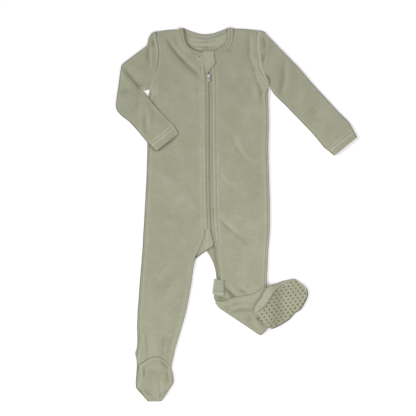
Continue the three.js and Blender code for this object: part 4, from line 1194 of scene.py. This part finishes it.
def left_foot():
    sections = [between(r, "inner", "outer") for r in LEFT_FOOT]
    filled = fill(sections, LEFT_FOOT, step=2.0)
    one = np.ones(len(filled["length"]))
    turned = under_wall(
        filled, FOOT_HEIGHT, filled["band"], one, FOOT_LIP, one, base=under_left_foot, dark=(0.5, 1)
    )
    upper = build("foot_left_upper_cloth", [turned], KNIT)
    heel = {name: mix(LEFT_FOOT[0][name], LEFT_FOOT[1][name], HEEL_RIM) for name in LEFT_FOOT[0]}
    sole_lines = [dict(heel, band=HEEL_BAND)] + LEFT_FOOT[1:]
    sole_sections = [drawn_in(*between(r, "inner", "outer"), r["band"], SOLE_REACH) for r in sole_lines]
    sole_rows = fill(sole_sections, step=2.0)
    sole_wall = top_wall(sole_rows, left_foot_height, base=under_left_foot)
    sole = build("foot_left_sole_cloth", [sole_wall], SOLE_KNIT)
    return upper, sole, sole_rows


foot_left_upper, foot_left_sole, sole_rows = left_foot()

RIGHT_FOOT_LIP = 2.6


def right_foot():
    sections = [between(r, "inner", "outer") for r in RIGHT_FOOT]
    filled = fill(sections, RIGHT_FOOT, step=2.0)
    one = np.ones(len(filled["length"]))
    sole = build("foot_right_sole_cloth", [
        under_wall(filled, EDGE_HEIGHT, RIGHT_FOOT_LIP, one, RIGHT_FOOT_LIP, one, dark=(1, 0.3)),
    ], KNIT)
    arch = [(x + (0.6 if x < -100 else -0.2), y - 0.2) for x, y in ANKLE_ARCH]
    upper_sections = [arch] + [drawn_in(a, b, RIGHT_FOOT_LIP, RIGHT_FOOT_LIP) for a, b in sections[1:]]

    def height_at(u, length, x, y, rows):
        height = rows["height"][:, None]
        crown = smooth(u / 14) * smooth((length - u) / 14)
        seam, tone = seam_shape(np.minimum(u, length - u))
        arch_seam, arch_tone = seam_shape(rows["along"][:, None] * np.ones_like(u))
        z = mix(np.minimum(EDGE_HEIGHT, height), height, crown) + seam + arch_seam
        folds = crease_height(x, y, FOOT_CREASES) + 0.4 * swell(x, y, 1.0)
        folds = folds * smooth(u / 4) * smooth((length - u) / 4)
        # Painted shade and highlight at the seams and on the creases.
        return z + np.maximum(folds, -2), tone + arch_tone + 1.4 * CREASE_PAINTED_SHADE * folds

    upper_rows = fill(upper_sections, RIGHT_FOOT, step=2.0)
    upper = build("foot_right_upper_cloth", [top_wall(upper_rows, height_at)], KNIT)
    return sole, upper


foot_right_sole, foot_right_upper = right_foot()


# Neck, zip and patches


def widened(sections, by=1.15):
    """The neckband's sections with their outer ends moved out over the edge of the front."""
    return [[(mix(b[0], a[0], by), mix(b[1], a[1], by)), b] for a, b in sections]


def double_ridge(share, filled):
    """Two ridges with a groove between them, with painted highlight on the ridges and painted shade in the
    groove.
    """
    rise = 0.45 * np.cos(2 * np.pi * (share - 0.25) * 2) * smooth(share * 6) * smooth((1 - share) * 6)
    return rise, 0.6 * rise


def single_ridge(share, filled):
    return 0.35 * np.sin(np.pi * share), 0.1 * np.ones_like(share)


def edged_tape(share, filled):
    """A flat tape, darker along its second edge with painted shadow."""
    return 0.1 * np.sin(np.pi * share), -0.9 * smooth((share - 0.8) / 0.12)


def flat_strip(share, filled):
    return 0.1 * np.sin(np.pi * share), np.zeros_like(share)


def guard_cloth(share, filled):
    """A doubled piece of cloth, with its stitching inside its edges."""
    edge = np.minimum(share, 1 - share) * filled["length"][:, None]
    press = bell(edge - 2.2, 0.7)
    return 0.3 * smooth(edge / 3) - 0.25 * press, 0.4 - 0.35 * press


def hemmed_patch(share, filled):
    """A doubled piece of cloth, with a paler hem along its lower end and painted shade in the groove at the
    hem's edge.
    """
    to_end = filled["along"][-1] - filled["along"][:, None] + 0 * share
    edge = np.minimum(share, 1 - share) * filled["length"][:, None]
    groove = bell(to_end - 6.2, 0.8)
    hem = smooth((6.4 - to_end) / 1.5)
    return 0.25 * smooth(edge / 3) + 0.25 * hem - 0.4 * groove, 0.75 * hem - 0.5 * groove


def stitched_band(share, filled):
    """A turned band, pressed down where it is topstitched along both edges."""
    edge = np.minimum(share, 1 - share)
    press = -0.4 * bell(edge - 0.2, 0.07)
    return 0.3 * np.sin(np.pi * share) + press, 0.35 + 0.8 * press


# The lower and the upper face of each thin piece, and how far the zip's strips reach from its line.
NECKBAND_FACES = (3.7, 6.1)
BACK_BAND_FACES = (0, 2.6)
NECK_TAPE_FACES = (1.3, 2.2)
GUSSET_FACES = (4.0, 5.2)
COIL_FACES = (3.9, 5.3)
ZIP_TAPE_FACES = (3.9, 5.5)
ZIP_BAND_FACES = (3.9, 6.0)
GUARD_FACES = (6.0, 7.4)
PATCH_FACES = (5.0, 6.8)
TAPE_START, TAPE_END = 1.0, 5.9
BAND_START, BAND_END = 6.0, 13.0
STITCH_LINES = (7.1, 11.0)
STITCH_PITCH = 2.7
STITCHES_TOP = 300.0
COIL_PITCH = 1.3
COIL_REACH = 0.42
ANYWHERE = 1e9

right_bar = bar(widened(BINDING_RIGHT), NECKBAND_FACES, double_ridge)
left_bar = bar(widened(BINDING_LEFT), NECKBAND_FACES, double_ridge)
neck_right = build("neckband_right_rib", [right_bar], BINDING_KNIT)
neck_left = build("neckband_left_rib", [left_bar], BINDING_KNIT)
neck_back = build("neckband_back_rib", [bar(BINDING_BACK, BACK_BAND_FACES, single_ridge)], BINDING_KNIT)
neck_tape = build("neck_tape_weave", [bar(NECK_TAPE, NECK_TAPE_FACES, edged_tape)], TAPE_WEAVE)
gusset = build("gusset_cloth", [bar(GUSSET, GUSSET_FACES, stitched_band, columns=16)], KNIT)

zip_curve = evenly(curve_points([(x, y, f) for x, y, f in ZIP_LINE], 40), 900)


def beside_zip(start, end, top=ANYWHERE, bottom=-ANYWHERE, every=4):
    """Sections of a strip beside the zip's line, between two distances from it."""
    along = np.gradient(zip_curve[:, :2], axis=0)
    along /= np.linalg.norm(along, axis=1)[:, None]
    across = np.stack([-along[:, 1], along[:, 0]], axis=1)
    keep = (zip_curve[:, 1] <= top) & (zip_curve[:, 1] >= bottom)
    sections = []
    for point, side in list(zip(zip_curve[keep], across[keep]))[::every]:
        ends = []
        for distance in (start, end):
            near = math.copysign(TEETH_REACH, distance)
            reach = near + (distance - near) * point[2]
            ends.append((point[0] + side[0] * reach, point[1] + side[1] * reach))
        sections.append(ends)
    return sections


def strip(name, start, end, faces, profile, material, bottom=-ANYWHERE):
    return build(name, [bar(beside_zip(start, end, bottom=bottom), faces, profile, columns=8)], material)


tape_right = strip(
    "zip_tape_right_weave", -TAPE_END, -TAPE_START, ZIP_TAPE_FACES, flat_strip, ZIP_WEAVE, RIGHT_SIDE_END
)
tape_left = strip("zip_tape_left_weave", TAPE_START, TAPE_END, ZIP_TAPE_FACES, flat_strip, ZIP_WEAVE)
band_right = strip(
    "zip_band_right_cloth", -BAND_END, -BAND_START, ZIP_BAND_FACES, stitched_band, KNIT, RIGHT_SIDE_END
)
band_left = strip("zip_band_left_cloth", BAND_START, BAND_END, ZIP_BAND_FACES, stitched_band, KNIT)
guard = build("zip_guard_cloth", [bar(GUARD, GUARD_FACES, guard_cloth, columns=20, step=1.5)], KNIT)
patch = build("zip_end_patch_cloth", [bar(END_PATCH, PATCH_FACES, hemmed_patch, columns=14, step=1.0)], KNIT)


def copies(shape, faces, places):
    """Copies of one small shape. Each place is an origin and three axes, in millimetres."""
    points = np.concatenate([origin + shape @ np.array(axes) for origin, axes in places])
    quads = np.concatenate([faces + k * len(shape) for k in range(len(places))])
    return points, quads, np.zeros(len(points)), points[:, :2]


def ring_faces(rings, around):
    """The faces of a small closed shape of rings of points: its sides, and a cap at each end."""
    faces = []
    for i in range(rings - 1):
        for j in range(around):
            k = (j + 1) % around
            faces.append((i * around + j, i * around + k, (i + 1) * around + k, (i + 1) * around + j))
    for ring, turn in ((0, True), (rings - 1, False)):
        start = ring * around
        for j in range(1, around - 2, 2):
            quad = (start, start + j, start + j + 1, start + j + 2)
            faces.append(quad[::-1] if turn else quad)
    return np.array(faces)


BLUNT_END = 0.25


def capsule(length, width, height, around=6, along=4):
    """A small rounded bar, lengthwise along its first axis."""
    points = []
    for i in range(along + 1):
        t = math.pi * i / along
        reach = math.sin(max(BLUNT_END, min(math.pi - BLUNT_END, t))) / 2
        for j in range(around):
            a = 2 * math.pi * j / around
            points.append((
                -length / 2 * math.cos(t),
                width * reach * math.cos(a),
                height * reach * math.sin(a),
            ))
    return np.array(points), ring_faces(along + 1, around)


def along_zip(distance, pitch, height, top, bottom):
    """Places at even steps along the zip, at a distance from its line."""
    line = zip_curve[(zip_curve[:, 1] <= top) & (zip_curve[:, 1] >= bottom)]
    run = np.concatenate([[0], np.cumsum(np.linalg.norm(np.diff(line[:, :2], axis=0), axis=1))])
    places = []
    for at in np.arange(pitch / 2, run[-1], pitch):
        x, y, full = (np.interp(at, run, line[:, k]) for k in range(3))
        x2, y2 = (np.interp(at + 0.5, run, line[:, k]) for k in range(2))
        ax, ay = x2 - x, y2 - y
        size = math.hypot(ax, ay) or 1.0
        ax, ay = ax / size, ay / size
        near = math.copysign(TEETH_REACH, distance) if abs(distance) > TEETH_REACH else distance
        reach = near + (distance - near) * full
        first = (ax, ay, 0.0)
        second = (-ay, ax, 0.0)
        places.append((np.array([x - ay * reach, y + ax * reach, height]), (first, second, (0.0, 0.0, 1.0))))
    return places


def zip_teeth():
    shape, faces = capsule(0.95, 1.05, 1.2)
    left = along_zip(COIL_REACH, COIL_PITCH, COIL_FACES[1], TEETH_TOP, -ANYWHERE)
    right = along_zip(-COIL_REACH, COIL_PITCH, COIL_FACES[1], TEETH_TOP, -ANYWHERE)
    shifted = [(origin + COIL_PITCH / 2 * np.array(axes[0]), axes) for origin, axes in right]
    core = bar(beside_zip(-TEETH_REACH, TEETH_REACH, top=TEETH_TOP), COIL_FACES, flat_strip, columns=4)
    return build("zip_teeth_coil", [core, copies(shape, faces, left + shifted)], COIL)


teeth = zip_teeth()


def zip_stitches():
    shape, faces = capsule(2.0, 0.5, 0.45)
    places = []
    for side, bottom in ((-1, RIGHT_SIDE_END), (1, -ANYWHERE)):
        for distance in STITCH_LINES:
            places += along_zip(side * distance, STITCH_PITCH, ZIP_BAND_FACES[1], STITCHES_TOP, bottom)
    return build("zip_stitches_thread", [copies(shape, faces, places)], THREAD)


stitches = zip_stitches()


# Grip dots on the left sole, in rows across it.


def dot_shape(radius, height, around=10):
    """A low dome, as rings of points that narrow as they rise."""
    levels = ((1.0, 0.0), (0.92, 0.45), (0.7, 0.8), (0.35, 0.97))
    turns = [2 * math.pi * j / around for j in range(around)]
    points = [(radius * scale * math.cos(a), radius * scale * math.sin(a), height * rise)
              for scale, rise in levels for a in turns]
    return np.array(points), ring_faces(len(levels), around)


DOT_RADIUS = 1.9
DOT_ACROSS = np.array([4.36, -5.48])
DOT_ALONG = np.array([4.7, 7.0])
DOT_MARGIN = 2.0
DOT_HEIGHT = 0.7
SOLE_CENTRE = np.array([139.3, -170.5])


def grip_dots():
    length = sole_rows["length"]
    plan = sole_rows["plan"]
    centres = plan.reshape(-1, 2)
    share = np.broadcast_to(np.linspace(0, 1, SAMPLES)[None, :], plan.shape[:2]).reshape(-1)
    width = np.repeat(length, SAMPLES)
    along = np.repeat(sole_rows["along"], SAMPLES)
    places = []
    for i in range(-9, 10):
        for j in range(-9, 10):
            at = SOLE_CENTRE + i * DOT_ALONG + j * DOT_ACROSS
            near = np.argmin(((centres - at) ** 2).sum(axis=1))
            inside = min(share[near], 1 - share[near]) * width[near]
            ends = min(along[near] - HEEL_GROOVE, sole_rows["along"][-1] - along[near])
            if along[near] < HEEL_LENGTH:
                inside -= HEEL_GROOVE
            if np.linalg.norm(centres[near] - at) > 2.2 or inside < DOT_MARGIN or ends < DOT_MARGIN:
                continue
            rise = FOOT_HEIGHT + 0.7 + float(under_left_foot(np.array(at[0]), 0))
            swelling = 0.5 * float(swell(np.array(at[0]), np.array(at[1]), 4.0))
            origin = np.array([at[0], at[1], rise + swelling - 0.15])
            places.append((origin, ((1, 0, 0), (0, 1, 0), (0, 0, 1))))
    return build("grip_dots_rubber", [copies(*dot_shape(DOT_RADIUS, DOT_HEIGHT), places)], RUBBER)


dots = grip_dots()

for node, metal in (("zip_slider", METAL), ("zip_pull", PULL_METAL)):
    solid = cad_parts[node]
    solid.data.materials.clear()
    solid.data.materials.append(metal)
    bevel = solid.modifiers.new("rounded", "BEVEL")
    bevel.width = 0.00018
    bevel.segments = 2

# Each piece of cloth: the node it stands for, how it lies, its cut as width, length and share of that
# rectangle, what it rests on, and its slot.
PIECES = [
    (back, "back", "laid", 250, 640, 0.81, "ground", "cloth"),
    (front_right, "front_right", "laid", 110, 620, 0.84, "back_cloth", "cloth"),
    (front_left, "front_left", "laid", 100, 560, 0.87, "back_cloth", "cloth"),
    (sleeve_right, "sleeve_right", "folded", 200, 190, 0.63, "front_right_cloth", "cloth"),
    (sleeve_left, "sleeve_left", "laid", 220, 215, 0.65, "ground", "cloth"),
    (cuff_right, "cuff_right", "laid", 120, 15, 0.98, "front_right_cloth", "cloth"),
    (cuff_left, "cuff_left", "laid", 120, 15, 0.98, "ground", "cloth"),
    (leg_turned, "leg_left_turned", "folded", 90, 95, 0.7, "front_left_cloth", "cloth"),
    (leg_layers, "leg_left_folded_layers", "folded", 80, 80, 0.6, "front_left_cloth", "cloth"),
    (foot_left_upper, "foot_left_upper", "folded", 120, 110, 0.7, "leg_left_turned_cloth", "cloth"),
    (foot_left_sole, "foot_left_sole", "laid", 57, 110, 0.84, "foot_left_upper_cloth", "sole_cloth"),
    (foot_right_sole, "foot_right_sole", "laid", 80, 68, 0.84, "ground", "sole_cloth"),
    (foot_right_upper, "foot_right_upper", "laid", 66, 84, 0.8, "foot_right_sole_cloth", "cloth"),
    (gusset, "gusset", "laid", 32, 49, 0.5, "back_cloth", "cloth"),
    (neck_right, "neckband_right", "laid", 10, 80, 0.84, "front_right_cloth", "binding"),
    (neck_left, "neckband_left", "laid", 10, 75, 0.95, "front_left_cloth", "binding"),
    (neck_back, "neckband_back", "laid", 10, 84, 0.6, "back_cloth", "binding"),
    (neck_tape, "neck_tape", "laid", 10, 80, 0.5, "back_cloth", "neck_tape"),
    (tape_right, "zip_tape_right", "laid", 10, 336, 0.52, "back_cloth", "zip_tape"),
    (tape_left, "zip_tape_left", "laid", 10, 430, 0.48, "back_cloth", "zip_tape"),
    (band_right, "zip_band_right", "laid", 10, 336, 0.84, "back_cloth", "cloth"),
    (band_left, "zip_band_left", "laid", 10, 430, 0.78, "back_cloth", "cloth"),
    (guard, "zip_guard", "laid", 24, 43, 0.8, "zip_band_right_cloth", "cloth"),
    (patch, "zip_end_patch", "laid", 22, 32, 0.98, "zip_band_left_cloth", "cloth"),
]

for piece, node, held, width, length, share, rests_on, slot in PIECES:
    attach(piece, "garment")
    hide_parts(node)
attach(teeth, "garment")
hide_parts("zip_teeth")
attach(stitches, "garment")
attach(dots, "garment")


# Floor, light and camera


def floor():
    """A white floor, 12 metres square and just under the garment."""
    size, depth = 6.0, -0.0006
    corners = [(-size, -size, depth), (size, -size, depth), (size, size, depth), (-size, size, depth)]
    mesh = bpy.data.meshes.new("floor")
    mesh.from_pydata(corners, [], [(0, 1, 2, 3)])
    material, shader = principled("floor_white", 0.9)
    shader.inputs["Base Color"].default_value = (0.93, 0.90, 0.95, 1.0)
    shader.inputs["Specular IOR Level"].default_value = 0.1
    shader.inputs["Emission Color"].default_value = (1.0, 0.985, 1.0, 1.0)
    shader.inputs["Emission Strength"].default_value = 0.13
    mesh.materials.append(material)
    made = bpy.data.objects.new("floor", mesh)
    bpy.context.scene.collection.objects.link(made)
    return made


floor()


def light(name, kind, energy, place_at, target, size, colour):
    """A light. Its size is an angle for the sun, and a width in metres for an area."""
    data = bpy.data.lights.new(name, kind)
    data.energy = energy
    data.color = colour
    if kind == "AREA":
        data.size = size
    if kind == "SUN":
        data.angle = size
    made = bpy.data.objects.new(name, data)
    made.location = place_at
    direction = np.array(target, float) - np.array(place_at, float)
    made.rotation_euler = Vector(direction).to_track_quat("-Z", "Y").to_euler()
    bpy.context.scene.collection.objects.link(made)
    return made


KEY_WIDTH = math.radians(28)
KEY_COLOUR = (1.0, 0.99, 0.97)
FEET_COLOUR = (1.0, 0.98, 0.95)
light("key", "SUN", 1.9, place_at=(-1.5, 0.15, 1.1), target=(0, 0, 0), size=KEY_WIDTH, colour=KEY_COLOUR)
light("feet", "AREA", 7.0, place_at=(0.25, -0.45, 1.0), target=(0.05, -0.3, 0), size=1.0, colour=FEET_COLOUR)

world = bpy.data.worlds.new("studio")
bpy.context.scene.world = world
world.use_nodes = True
sky = world.node_tree.nodes["Background"]
sky.inputs["Color"].default_value = (0.96, 0.97, 1.0, 1.0)
sky.inputs["Strength"].default_value = 0.44

bpy.context.scene.view_settings.view_transform = "Standard"
bpy.context.scene.view_settings.look = "None"

# The camera looks straight down. The view is 790.4 mm wide at the surface.
VIEW_WIDTH = 0.7904
SENSOR_WIDTH = 36.0
CAMERA_AT = (0.001, 0.0114, 3.0)
camera_data = bpy.data.cameras.new("camera")
camera_data.sensor_width = SENSOR_WIDTH
camera_data.lens = SENSOR_WIDTH * CAMERA_AT[2] / VIEW_WIDTH
camera = bpy.data.objects.new("camera", camera_data)
camera.location = CAMERA_AT
bpy.context.scene.collection.objects.link(camera)
bpy.context.scene.camera = camera
